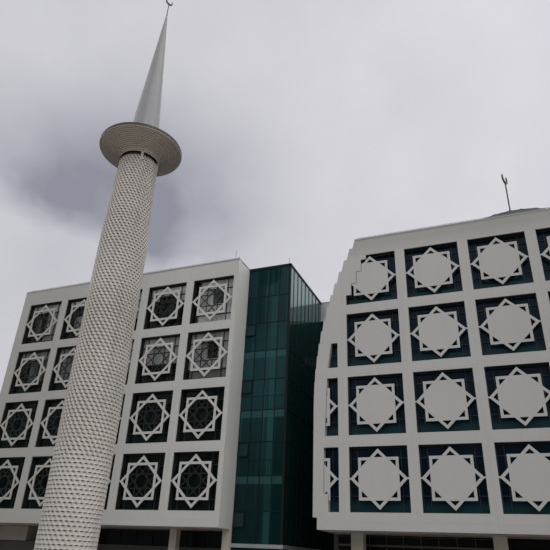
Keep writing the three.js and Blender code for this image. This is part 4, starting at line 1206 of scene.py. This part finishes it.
# Soffits: brown-grey sheet panels hung under the overhang of both wings, three rows deep, with
# open joints between them.
SOFFIT_TOP = 3.515
SOFFIT_BOTTOM = 3.46
SOFFIT_JOINT = 0.02
SOFFIT_PANEL = BAY / 3
SOFFIT_ROW = 1.05
SOFFIT_ROWS = 3
SOFFIT_FRONT = 0.46
SOFFIT_CHAMFER = 0.006
LEFT_PANELS = 15
RIGHT_PANELS = 20


def soffit(name, left, panels):
    field = framework(name, [(
        (left + SOFFIT_JOINT / 2, SOFFIT_FRONT, SOFFIT_BOTTOM),
        (left + SOFFIT_PANEL - SOFFIT_JOINT / 2, SOFFIT_FRONT + SOFFIT_ROW - SOFFIT_JOINT, SOFFIT_TOP))],
        SOFFIT_CHAMFER)
    repeat(field, panels, x=SOFFIT_PANEL)
    repeat(field, SOFFIT_ROWS, y=SOFFIT_ROW)
    return field


wing_soffits = join_pieces("wing_soffits", [
    soffit("left_soffit", LEFT_FRONT_CORNER - LEFT_PANELS * SOFFIT_PANEL, LEFT_PANELS),
    soffit("right_soffit", -RIGHT_PANELS / 2 * SOFFIT_PANEL, RIGHT_PANELS)])
hand_over(wing_soffits, metal("soffit_sheet", (0.40, 0.35, 0.305), 0.5), "balcony_skin")

# Floors, columns and ground-floor walls: cast concrete, painted a plain beige-grey, with the faint
# lines of the shuttering boards.
BOARD = size(1.2)
BOARD_LINE = size(0.015)
BOARD_SHADE = (0.12, 0.115, 0.11)
concrete, concrete_tree, concrete_shader = new_material("painted_concrete", 0.75)
boards = place_group(concrete_tree, joints, X_Pitch=BOARD, Y_Pitch=BOARD, Z_Pitch=BOARD, Width=BOARD_LINE)
concrete_coat = place_group(concrete_tree, weather, Colour=(0.52, 0.48, 0.41), Soil=(0.30, 0.27, 0.23),
                            Cloud=0.3, Streak=0.3, Grain=9.0)
concrete_height, board_mask = concrete_coat.outputs["Height"], boards.outputs["Mask"]
concrete_colour = blend_colours(concrete_tree, product(concrete_tree, board_mask, 0.35),
                                concrete_coat.outputs["Colour"], BOARD_SHADE)
concrete_tree.links.new(concrete_colour, concrete_shader.inputs["Base Color"])
concrete_tree.links.new(spread(concrete_tree, concrete_height, *NOISE_SPAN, 0.65, 0.85),
                        concrete_shader.inputs["Roughness"])
concrete_relief = calc(concrete_tree, "SUBTRACT", concrete_height, board_mask)
bump(concrete_tree, concrete_shader, concrete_relief, 0.3, 0.004)
dress(concrete, "floor_1", "floor_2", "floor_3", "floor_4", "ground_floor", "ground_walls")

# Flat roofs: grey bitumen sheet in rolls a metre wide, lapped and welded, with rain marks. The ring
# round the dome's foot is cast concrete under the same sheet.
ROLL_LENGTH = size(8.0)
ROLL_WIDTH = size(1.0)
ROLL_LAP = size(0.05)
NO_LEVEL_JOINT = 50.0
LAP_SHADE = (0.05, 0.05, 0.05)
roof_sheet, roof_tree, roof_shader = new_material("roof_sheet", 0.8)
rolls = place_group(roof_tree, joints, X_Pitch=ROLL_LENGTH, Y_Pitch=ROLL_WIDTH, Z_Pitch=NO_LEVEL_JOINT,
                    Width=ROLL_LAP)
roof_coat = place_group(roof_tree, weather, Colour=(0.16, 0.165, 0.165), Soil=(0.08, 0.08, 0.075),
                        Cloud=0.6, Streak=0.1, Grain=20.0)
lap_mask = rolls.outputs["Mask"]
roof_colour = blend_colours(roof_tree, product(roof_tree, lap_mask, 0.5), roof_coat.outputs["Colour"],
                            LAP_SHADE)
roof_tree.links.new(roof_colour, roof_shader.inputs["Base Color"])
roof_tree.links.new(spread(roof_tree, roof_coat.outputs["Mask"], 0.0, 0.6, 0.65, 0.85),
                    roof_shader.inputs["Roughness"])
bump(roof_tree, roof_shader, total(roof_tree, roof_coat.outputs["Height"], lap_mask), 0.4, 0.006)
dress(roof_sheet, "roof", "tower_roof", "dome_ring")

# Dome: a shell covered with dark grey sheet metal, in 32 tapering strips with standing seams
# between them. Each ring of seam goes over the crown and makes two of them.
DOME = (-0.2, 12.69)
DOME_RADIUS = 9.8
DOME_CENTRE = 19.88
DOME_THICKNESS = 0.2
DOME_FOOT = 22.7
DOME_SIDES = 64
DOME_COURSES = 48
SEAM_RINGS = 16
SEAM_RADIUS = 0.035
SEAM_SIDES = 5
SEAM_LENGTHS = 72
DOME_SMOOTH = math.radians(30)


def keep_above(z):
    """Cuts the mesh being edited level at a height, and drops what lies below."""
    bpy.ops.mesh.select_all(action="SELECT")
    bpy.ops.mesh.bisect(plane_co=at(0, 0, z), plane_no=(0.0, 0.0, 1.0), clear_inner=True)


def above_dome_foot():
    """Fixes the new ball or ring in its place, and keeps what lies above the dome's foot."""
    made = bpy.context.object
    apply_place()
    bpy.ops.object.mode_set(mode="EDIT")
    keep_above(DOME_FOOT)
    end_edit()
    return made


deselect_all()
bpy.ops.mesh.primitive_uv_sphere_add(segments=DOME_SIDES, ring_count=DOME_COURSES, radius=size(DOME_RADIUS),
                                     location=at(*DOME, DOME_CENTRE))
dome_cover = above_dome_foot()
dome_cover.name = dome_cover.data.name = "dome_cover"
thickness = dome_cover.modifiers.new("thickness", "SOLIDIFY")
thickness.thickness = size(DOME_THICKNESS)
thickness.offset = -1.0
bpy.ops.object.modifier_apply(modifier=thickness.name)
bpy.ops.object.shade_smooth_by_angle(angle=DOME_SMOOTH)
seams = []
for seam in range(SEAM_RINGS):
    deselect_all()
    bpy.ops.mesh.primitive_torus_add(
        major_radius=size(DOME_RADIUS), minor_radius=size(SEAM_RADIUS), major_segments=SEAM_LENGTHS,
        minor_segments=SEAM_SIDES, location=at(*DOME, DOME_CENTRE),
        rotation=(math.pi / 2, 0.0, math.pi * (seam + 0.5) / SEAM_RINGS))
    seams.append(above_dome_foot())
dome_seams = join_pieces("dome_seams", seams)
dome_metal = weathered("dome_sheet", (0.062, 0.066, 0.068), (0.035, 0.036, 0.036), (0.45, 0.5, 12.0),
                       (0.6, 0.75), (0.2, 0.006))
mirror_sky(dome_metal, 0.03)
hand_over(dome_cover, dome_metal, "dome_skin", "dome_shell")
hand_over(dome_seams, dome_metal, "dome_skin")

# Finials: a slim dark rod on a turned foot with one small ball, and a crescent cut from plate at
# its top. Both crescents are turned the same way.
ROD_SIDES = 20
ROD_RADIUS = 0.065
ROD_FOOT = ((0.0, 29.68), (0.3, 29.68), (0.26, 29.76), (0.12, 29.9), (ROD_RADIUS, 30.0))
BALL_RADIUS = 0.11
BALL_HEIGHT = 31.4
BALL_STEPS = 8
DOME_ROD_TOP = 34.5
DOME_ROD_TIP = 0.06
DOME_CRESCENT = 0.55
DOME_CRESCENT_PLATE = 0.12
CRESCENT_TURN = math.radians(22)
CRESCENT_SIDES = 72
CRESCENT_SEAT = 0.9
CRESCENT_EASED = 0.3
BITE_RADIUS = 0.8
BITE_LIFT = 0.32
DOT = 0.01
SEAM_GAP = 0.00005
FINIAL_SMOOTH = math.radians(40)


def spun(name, profile, middle, sides):
    """Turns a profile of radii and heights, from the bottom up, about an upright axis."""
    deselect_all()
    bpy.ops.mesh.primitive_plane_add(size=DOT, location=at(*middle, 0.0))
    turned = bpy.context.object
    turned.name = turned.data.name = name
    apply_place()
    edit_all()
    bpy.ops.mesh.merge(type="CENTER")
    radius, z = 0.0, 0.0
    for corner, (next_radius, next_z) in enumerate(profile):
        step = (size(next_radius - radius), 0.0, size(next_z - z))
        if corner:
            bpy.ops.mesh.extrude_region_move(TRANSFORM_OT_translate={"value": step})
        else:
            bpy.ops.transform.translate(value=step)
        radius, z = next_radius, next_z
    bpy.ops.mesh.select_all(action="SELECT")
    bpy.ops.mesh.spin(steps=sides, angle=math.tau, center=at(*middle, 0.0), axis=(0.0, 0.0, 1.0))
    bpy.ops.mesh.select_all(action="SELECT")
    bpy.ops.mesh.remove_doubles(threshold=SEAM_GAP)
    bpy.ops.mesh.normals_make_consistent(inside=False)
    end_edit()
    return turned


def ball(radius, z, rod):
    """Profile points of a small ball threaded on a rod."""
    turns = [math.pi * step / BALL_STEPS for step in range(1, BALL_STEPS)]
    return [(max(rod, radius * math.sin(turn_up)), z - radius * math.cos(turn_up)) for turn_up in turns]


def crescent(name, middle, z, radius, thickness):
    """A plate disc with a smaller disc cut out towards its top, its edges eased."""
    discs = []
    bitten = (radius * BITE_RADIUS, radius * BITE_LIFT, thickness * 3)
    for reach, lift, width in ((radius, 0.0, thickness), bitten):
        deselect_all()
        bpy.ops.mesh.primitive_cylinder_add(vertices=CRESCENT_SIDES, radius=size(reach), depth=size(width),
                                            location=at(*middle, z + lift),
                                            rotation=(0.0, math.pi / 2, -CRESCENT_TURN))
        apply_place()
        discs.append(bpy.context.object)
    plate, cutter = discs
    bite = plate.modifiers.new("bite", "BOOLEAN")
    bite.operation = "DIFFERENCE"
    bite.solver = "EXACT"
    bite.object = cutter
    bpy.context.view_layer.objects.active = plate
    bpy.ops.object.modifier_apply(modifier=bite.name)
    bpy.data.objects.remove(cutter)
    eased = plate.modifiers.new("eased", "BEVEL")
    eased.width = size(thickness * CRESCENT_EASED)
    eased.segments = 3
    bpy.ops.object.modifier_apply(modifier=eased.name)
    plate.name = plate.data.name = name
    return plate


finial_metal = metal("finial_metal", (0.035, 0.034, 0.034), 0.4, 0.7)
dome_rod = spun("dome_rod", [
    *ROD_FOOT, *ball(BALL_RADIUS, BALL_HEIGHT, ROD_RADIUS), (DOME_ROD_TIP, DOME_ROD_TOP),
    (0.0, DOME_ROD_TOP)], DOME, ROD_SIDES)
dome_crescent = crescent("dome_crescent", DOME, DOME_ROD_TOP + DOME_CRESCENT * CRESCENT_SEAT,
                         DOME_CRESCENT, DOME_CRESCENT_PLATE)
dome_finial = join_pieces("dome_finial_piece", [dome_rod, dome_crescent])
bpy.ops.object.shade_smooth_by_angle(angle=FINIAL_SMOOTH)
hand_over(dome_finial, finial_metal, "dark_metal", "dome_finial")

# Minaret shaft: a near-black round core, partly painted shade for the slots, behind an open net of
# pale moulded tiles. Each lozenge tile has a small slanted slot under a hood, and its raised edges
# make ridges that wind down round the shaft.
MINARET = (-25.863, -8.387)
SHAFT_PROFILE = ((0.0, 1.49), (8.65, 1.56), (20.28, 1.51), (22.74, 1.44), (25.0, 1.36), (27.22, 1.29),
                 (28.0, 1.26))
SHAFT_TOP = 28.0
TILES_ROUND = 34
TILE_RISE = 0.224
TILE_ROWS = 125
TILE_LIFT = 0.09
TILE_VALLEY = 0.010
TILE_FLOOR = 0.012
TILE_BORDER = 0.05
SLOT_LONG = 0.18
SLOT_SHORT = 0.062
SLOT_SLANT = -10.0
SLOT_BEHIND = 0.01
HOOD = 0.088
HOOD_FROM = 0.6
SKIN_TOP = 27.42
HALF_TILE = math.pi / TILES_ROUND
FLAT_LOW = 0.056
FLAT_UP_TO = 18.0
NEAR = 1e-4
AT_TIP = 0.99
SAME_CORNER = 0.0005
SAME_ROW = 0.004


def shaft_radius(z):
    for (low, radius), (high, next_radius) in zip(SHAFT_PROFILE, SHAFT_PROFILE[1:]):
        if z <= high:
            break
    return radius + (next_radius - radius) * (z - low) / (high - low)


def choose(piece, test):
    """Selects the corners that pass a test on their place, in the frame's metres, for editing."""
    bpy.ops.object.mode_set(mode="EDIT")
    bpy.ops.mesh.select_mode(type="VERT")
    bpy.ops.mesh.select_all(action="DESELECT")
    end_edit()
    for corner in piece.data.vertices:
        corner.select = test(corner.co)
    bpy.ops.object.mode_set(mode="EDIT")


def push(y):
    """Moves what is selected in editing inwards, or outwards where y is less than nothing."""
    bpy.ops.transform.translate(value=(0.0, y, 0.0))


# One tile, flat, facing the front, in the plane of its raised corners; then its slot.
tile_radius = SHAFT_PROFILE[0][1] + TILE_LIFT
tile_reach, tile_rise = size(tile_radius * math.sin(HALF_TILE)), size(TILE_RISE)
tile_middle = (0.0, -size(tile_radius), 0.0)
deselect_all()
bpy.ops.mesh.primitive_circle_add(vertices=4, radius=1.0, fill_type="NGON", rotation=(math.pi / 2, 0.0, 0.0))
net_row = bpy.context.object
net_row.scale = (tile_reach, tile_rise, 1.0)
net_row.location = tile_middle
apply_place()
edit_all()
bpy.ops.mesh.inset(thickness=size(TILE_BORDER), depth=0.0)
end_edit()
slot_width = max(corner.co.x for corner in net_row.data.vertices if corner.select)
slot_height = max(corner.co.z for corner in net_row.data.vertices if corner.select)
bpy.ops.object.mode_set(mode="EDIT")
bpy.ops.transform.resize(value=(size(SLOT_LONG / 2) / slot_width, 1.0, size(SLOT_SHORT / 2) / slot_height),
                         center_override=tile_middle)
turn("Y", SLOT_SLANT, tile_middle)
push(size(TILE_LIFT - TILE_FLOOR))
to_core = (0.0, size(TILE_FLOOR + SLOT_BEHIND), 0.0)
bpy.ops.mesh.extrude_region_move(TRANSFORM_OT_translate={"value": to_core})
bpy.ops.mesh.delete(type="FACE")
slot_top, slot_depth = size(SLOT_SHORT / 2), -size(tile_radius - TILE_LIFT + TILE_FLOOR)
choose(net_row, lambda place: slot_top * HOOD_FROM < place.z < size(SLOT_SHORT) and abs(place.x) < slot_top
       and abs(place.y - slot_depth) < NEAR)
push(-size(HOOD))


# The tile's side corners are set back on the round, and the middles of its falling edges are pressed
# in as valleys; then it is copied round the shaft.
def at_side(place):
    return abs(place.x) > tile_reach * AT_TIP


def at_edge_middle(place):
    return abs(abs(place.x) - tile_reach / 2) < NEAR and abs(abs(place.z) - tile_rise / 2) < NEAR


choose(net_row, at_side)
push(size(tile_radius * (1.0 - math.cos(HALF_TILE))))
choose(net_row, lambda place: at_side(place) or abs(place.z) > tile_rise * AT_TIP)
bpy.ops.mesh.select_mode(type="EDGE")
end_edit()
corners = net_row.data.vertices
for edge in net_row.data.edges:
    middle = (corners[edge.vertices[0]].co + corners[edge.vertices[1]].co) / 2
    edge.select = at_edge_middle(middle) and middle.x * middle.z < 0.0
bpy.ops.object.mode_set(mode="EDIT")
bpy.ops.mesh.subdivide(number_cuts=1)
choose(net_row, at_edge_middle)
push(size(TILE_LIFT - TILE_VALLEY))
bpy.ops.mesh.select_all(action="SELECT")
bpy.ops.mesh.spin(steps=TILES_ROUND, angle=math.tau, dupli=True, center=(0.0, 0.0, 0.0),
                  axis=(0.0, 0.0, 1.0))
bpy.ops.mesh.select_all(action="SELECT")
bpy.ops.mesh.remove_doubles(threshold=SAME_CORNER)
end_edit()

# Every second row is turned by half a tile, and each follows the shaft's swelling. Lower down, the
# valleys between the ridges are filled a little, so that the net gets flatter.
rows = []
for row in range(TILE_ROWS + 1):
    copy = net_row.copy()
    copy.data = net_row.data.copy()
    bpy.context.scene.collection.objects.link(copy)
    deselect_all()
    bpy.context.view_layer.objects.active = copy
    for side in (-1, 1):
        height = (row + side / 2) * TILE_RISE
        fill = 1.0 + FLAT_LOW * max(0.0, 1.0 - height / FLAT_UP_TO) / tile_radius
        choose(copy, lambda place: abs(place.z - side * tile_rise / 2) < NEAR)
        bpy.ops.transform.resize(value=(fill, fill, 1.0), center_override=(0.0, 0.0, 0.0))
        end_edit()
    swell = (shaft_radius(min(row * TILE_RISE, SHAFT_TOP)) + TILE_LIFT) / tile_radius
    copy.scale = (swell, swell, 1.0)
    copy.rotation_euler.z = HALF_TILE * (row % 2)
    copy.location = at(*MINARET, row * TILE_RISE)
    rows.append(copy)
bpy.data.objects.remove(net_row)
shaft_net = join_pieces("shaft_net", rows)
apply_place()
edit_all()
bpy.ops.mesh.remove_doubles(threshold=SAME_ROW)
keep_above(0.0)
bpy.ops.mesh.select_all(action="SELECT")
bpy.ops.mesh.bisect(plane_co=at(0, 0, SKIN_TOP), plane_no=(0.0, 0.0, 1.0), clear_outer=True)
end_edit()


def moulded(name, colour, soil, roughness):
    """Pale moulded panels, slightly rough, with cloudy dirt and rain marks."""
    return weathered(name, colour, soil, (0.3, 0.3, 25.0), (roughness - 0.08, roughness + 0.08),
                     (0.25, 0.003))


tile_finish = moulded("shaft_tiles", (0.525, 0.485, 0.452), (0.26, 0.235, 0.21), 0.6)
hand_over(shaft_net, tile_finish, "shaft_skin")
# The core's near-black is partly painted shade, seen through the slots.
dress(moulded("shaft_core", (0.022, 0.018, 0.015), (0.012, 0.010, 0.008), 0.7), "minaret_shaft")

# Shaft rings: a narrow band that covers the joint between two lengths of the shaft, and a skirting
# round its foot.
SHAFT_BANDS = ((7.45, 7.52, 0.085), (0.0, 0.35, 0.09))
BAND_EDGE = 0.01
BAND_OFF = 0.005
BAND_SIDES = 64
shaft_bands = []
for low, high, out in SHAFT_BANDS:
    inside, outside = shaft_radius(low) + BAND_OFF, shaft_radius(low) + out
    shaft_bands.append(spun("shaft_band", [
        (inside, low), (outside - BAND_EDGE, low), (outside, low + BAND_EDGE), (outside, high - BAND_EDGE),
        (outside - BAND_EDGE, high), (inside, high), (inside, low)], MINARET, BAND_SIDES))
shaft_rings = join_pieces("shaft_rings", shaft_bands)
hand_over(shaft_rings, tile_finish, "shaft_skin")

# Balcony: a saucer of spun sheet whose underside steps outwards in rings, from a collar round the
# shaft's neck. The ledges between the rings are in shade, and their down-facing faces get painted shade.
BALCONY_RADIUS = 3.01
BALCONY_NECK = 1.36
APRON_RADIUS = 1.58
APRON_FOOT = 27.72
APRON_RINGS = 3
BALCONY_FOOT = 28.0
BALCONY_RINGS = 11
RING_DROP = 0.025
RING_LEDGE = 0.86
BALCONY_RIM = 28.73
BALCONY_RIM_TOP = 28.85
BALCONY_TOP = 28.9
BALCONY_FLOOR = 1.2
BALCONY_SIDES = 96
LEDGE_SHADE = (0.25, 0.215, 0.19)
saucer_profile = [(0.0, BALCONY_FOOT), (BALCONY_NECK, BALCONY_FOOT), (BALCONY_NECK, APRON_FOOT)]
for start, end, low, high, count in (
        (BALCONY_NECK, APRON_RADIUS, APRON_FOOT, BALCONY_FOOT, APRON_RINGS),
        (APRON_RADIUS, BALCONY_RADIUS, BALCONY_FOOT, BALCONY_RIM, BALCONY_RINGS)):
    ring_out, ring_up = (end - start) / count, (high - low) / count
    for ring in range(count):
        radius, z = start + ring_out * ring, low + ring_up * ring
        saucer_profile += [(radius + ring_out * RING_LEDGE, z - RING_DROP), (radius + ring_out, z + ring_up)]
saucer_profile += [(BALCONY_RADIUS, BALCONY_RIM_TOP), (BALCONY_FLOOR, BALCONY_TOP), (0.0, BALCONY_TOP)]
balcony_saucer = spun("balcony_saucer", saucer_profile, MINARET, BALCONY_SIDES)
saucer_finish = moulded("saucer_finish", (0.56, 0.50, 0.44), (0.30, 0.265, 0.23), 0.5)
saucer_tree = saucer_finish.node_tree
saucer_base = saucer_tree.nodes["Principled BSDF"].inputs["Base Color"]
# Painted shade: faces that look down are darkened towards LEDGE_SHADE.
painted_ledge_shade = spread(saucer_tree, surface_facing(saucer_tree)["Z"], -0.8, -0.5, 0.85, 0.0)
saucer_colour = blend_colours(saucer_tree, painted_ledge_shade, saucer_base.links[0].from_socket, LEDGE_SHADE)
saucer_tree.links.new(saucer_colour, saucer_base)
hand_over(balcony_saucer, saucer_finish, "balcony_skin", "minaret_balcony")

# Balcony edging and brackets: a thin dark band bent round the rim, and four light brackets on the
# shaft, which show in the dark gap below the collar.
EDGING_IN = 0.03
EDGING_OUT = 0.02
EDGING_RISE = 0.05
BRACKET_TURNS = (45.0, 118.0, 225.0, 298.0)
BRACKET_HALF_WIDTH = 0.09
BRACKET_REACH = (1.28, 1.43)
BRACKET_RISE = (27.0, 27.76)
BRACKET_CHAMFER = 0.01
edging_inside, edging_outside = BALCONY_RADIUS - EDGING_IN, BALCONY_RADIUS + EDGING_OUT
edging_low, edging_high = BALCONY_RIM - EDGING_IN, BALCONY_RIM_TOP + EDGING_RISE
balcony_edging = spun("balcony_edging", [
    (edging_inside, edging_low), (edging_outside, edging_low), (edging_outside, edging_high),
    (edging_inside, edging_high), (edging_inside, edging_low)], MINARET, BALCONY_SIDES)
hand_over(balcony_edging, metal("edging_metal", (0.045, 0.042, 0.04), 0.45, 0.5), "dark_metal")
bracket_x, bracket_y = MINARET
brackets = []
for way in BRACKET_TURNS:
    near, far = BRACKET_REACH
    low, high = BRACKET_RISE
    brackets.append(framework("bracket", [
        ((bracket_x - BRACKET_HALF_WIDTH, bracket_y - far, low),
         (bracket_x + BRACKET_HALF_WIDTH, bracket_y - near, high))], BRACKET_CHAMFER))
    edit_all()
    turn("Z", -way, at(*MINARET, 0))
    end_edit()
balcony_brackets = join_pieces("balcony_brackets", brackets)
hand_over(balcony_brackets, tile_finish, "shaft_skin")

# Spire: a slender cone of pale coated sheet in eight lengths, lapped at fine level joints, rising
# from a small flashing on the balcony.
SPIRE_RADIUS = 1.2
SPIRE_TIP_RADIUS = 0.06
SPIRE_TOP = 43.89
SPIRE_LENGTHS = 8
SPIRE_LAP = 0.012
SPIRE_LAP_RISE = 0.01
SPIRE_SIDES = 64
SPIRE_SMOOTH = math.radians(20)
FLASHING_RADIUS = SPIRE_RADIUS + 0.07
FLASHING_RISE = 0.07
FLASHING_FOLD = 0.12
spire_slope = (SPIRE_RADIUS - SPIRE_TIP_RADIUS) / (SPIRE_TOP - BALCONY_TOP)
spire_profile = [
    (0.0, BALCONY_TOP), (FLASHING_RADIUS, BALCONY_TOP), (FLASHING_RADIUS, BALCONY_TOP + FLASHING_RISE),
    (SPIRE_RADIUS - spire_slope * FLASHING_FOLD, BALCONY_TOP + FLASHING_FOLD)]
for length in range(1, SPIRE_LENGTHS):
    z = BALCONY_TOP + (SPIRE_TOP - BALCONY_TOP) * length / SPIRE_LENGTHS
    radius = SPIRE_RADIUS - spire_slope * (z - BALCONY_TOP)
    spire_profile += [(radius + SPIRE_LAP / 2, z - SPIRE_LAP_RISE),
                      (radius - SPIRE_LAP / 2, z + SPIRE_LAP_RISE)]
spire_profile += [(SPIRE_TIP_RADIUS, SPIRE_TOP), (0.0, SPIRE_TOP)]
spire_cone = spun("spire_cone", spire_profile, MINARET, SPIRE_SIDES)
bpy.ops.object.shade_smooth_by_angle(angle=SPIRE_SMOOTH)
spire_finish = weathered("spire_sheet", (0.235, 0.229, 0.244), (0.15, 0.146, 0.15), (0.25, 0.25, 10.0),
                         (0.32, 0.46), metallic=0.1)
hand_over(spire_cone, spire_finish, "spire_skin", "minaret_spire")

# Spire finial: the same kind of dark rod, thinner and without a ball, socketed over the spire's tip,
# with a smaller crescent.
SPIRE_ROD_TOP = 45.25
SPIRE_ROD_RADIUS = 0.04
SPIRE_SOCKET_RADIUS = 0.065
SPIRE_CRESCENT = 0.35
SPIRE_CRESCENT_PLATE = 0.07
SOCKET_NECK = 0.05
socket_low, socket_high = SPIRE_TOP - 0.05, SPIRE_TOP + 0.03
spire_rod = spun("spire_rod", [
    (0.0, socket_low), (SPIRE_SOCKET_RADIUS, socket_low), (SPIRE_SOCKET_RADIUS, socket_high),
    (SPIRE_ROD_RADIUS, socket_high + SOCKET_NECK), (SPIRE_ROD_RADIUS, SPIRE_ROD_TOP), (0.0, SPIRE_ROD_TOP)],
    MINARET, ROD_SIDES)
spire_crescent = crescent("spire_crescent", MINARET, SPIRE_ROD_TOP + SPIRE_CRESCENT * CRESCENT_SEAT,
                          SPIRE_CRESCENT, SPIRE_CRESCENT_PLATE)
spire_finial = join_pieces("spire_finial_piece", [spire_rod, spire_crescent])
bpy.ops.object.shade_smooth_by_angle(angle=FINIAL_SMOOTH)
hand_over(spire_finial, finial_metal, "dark_metal", "minaret_finial")
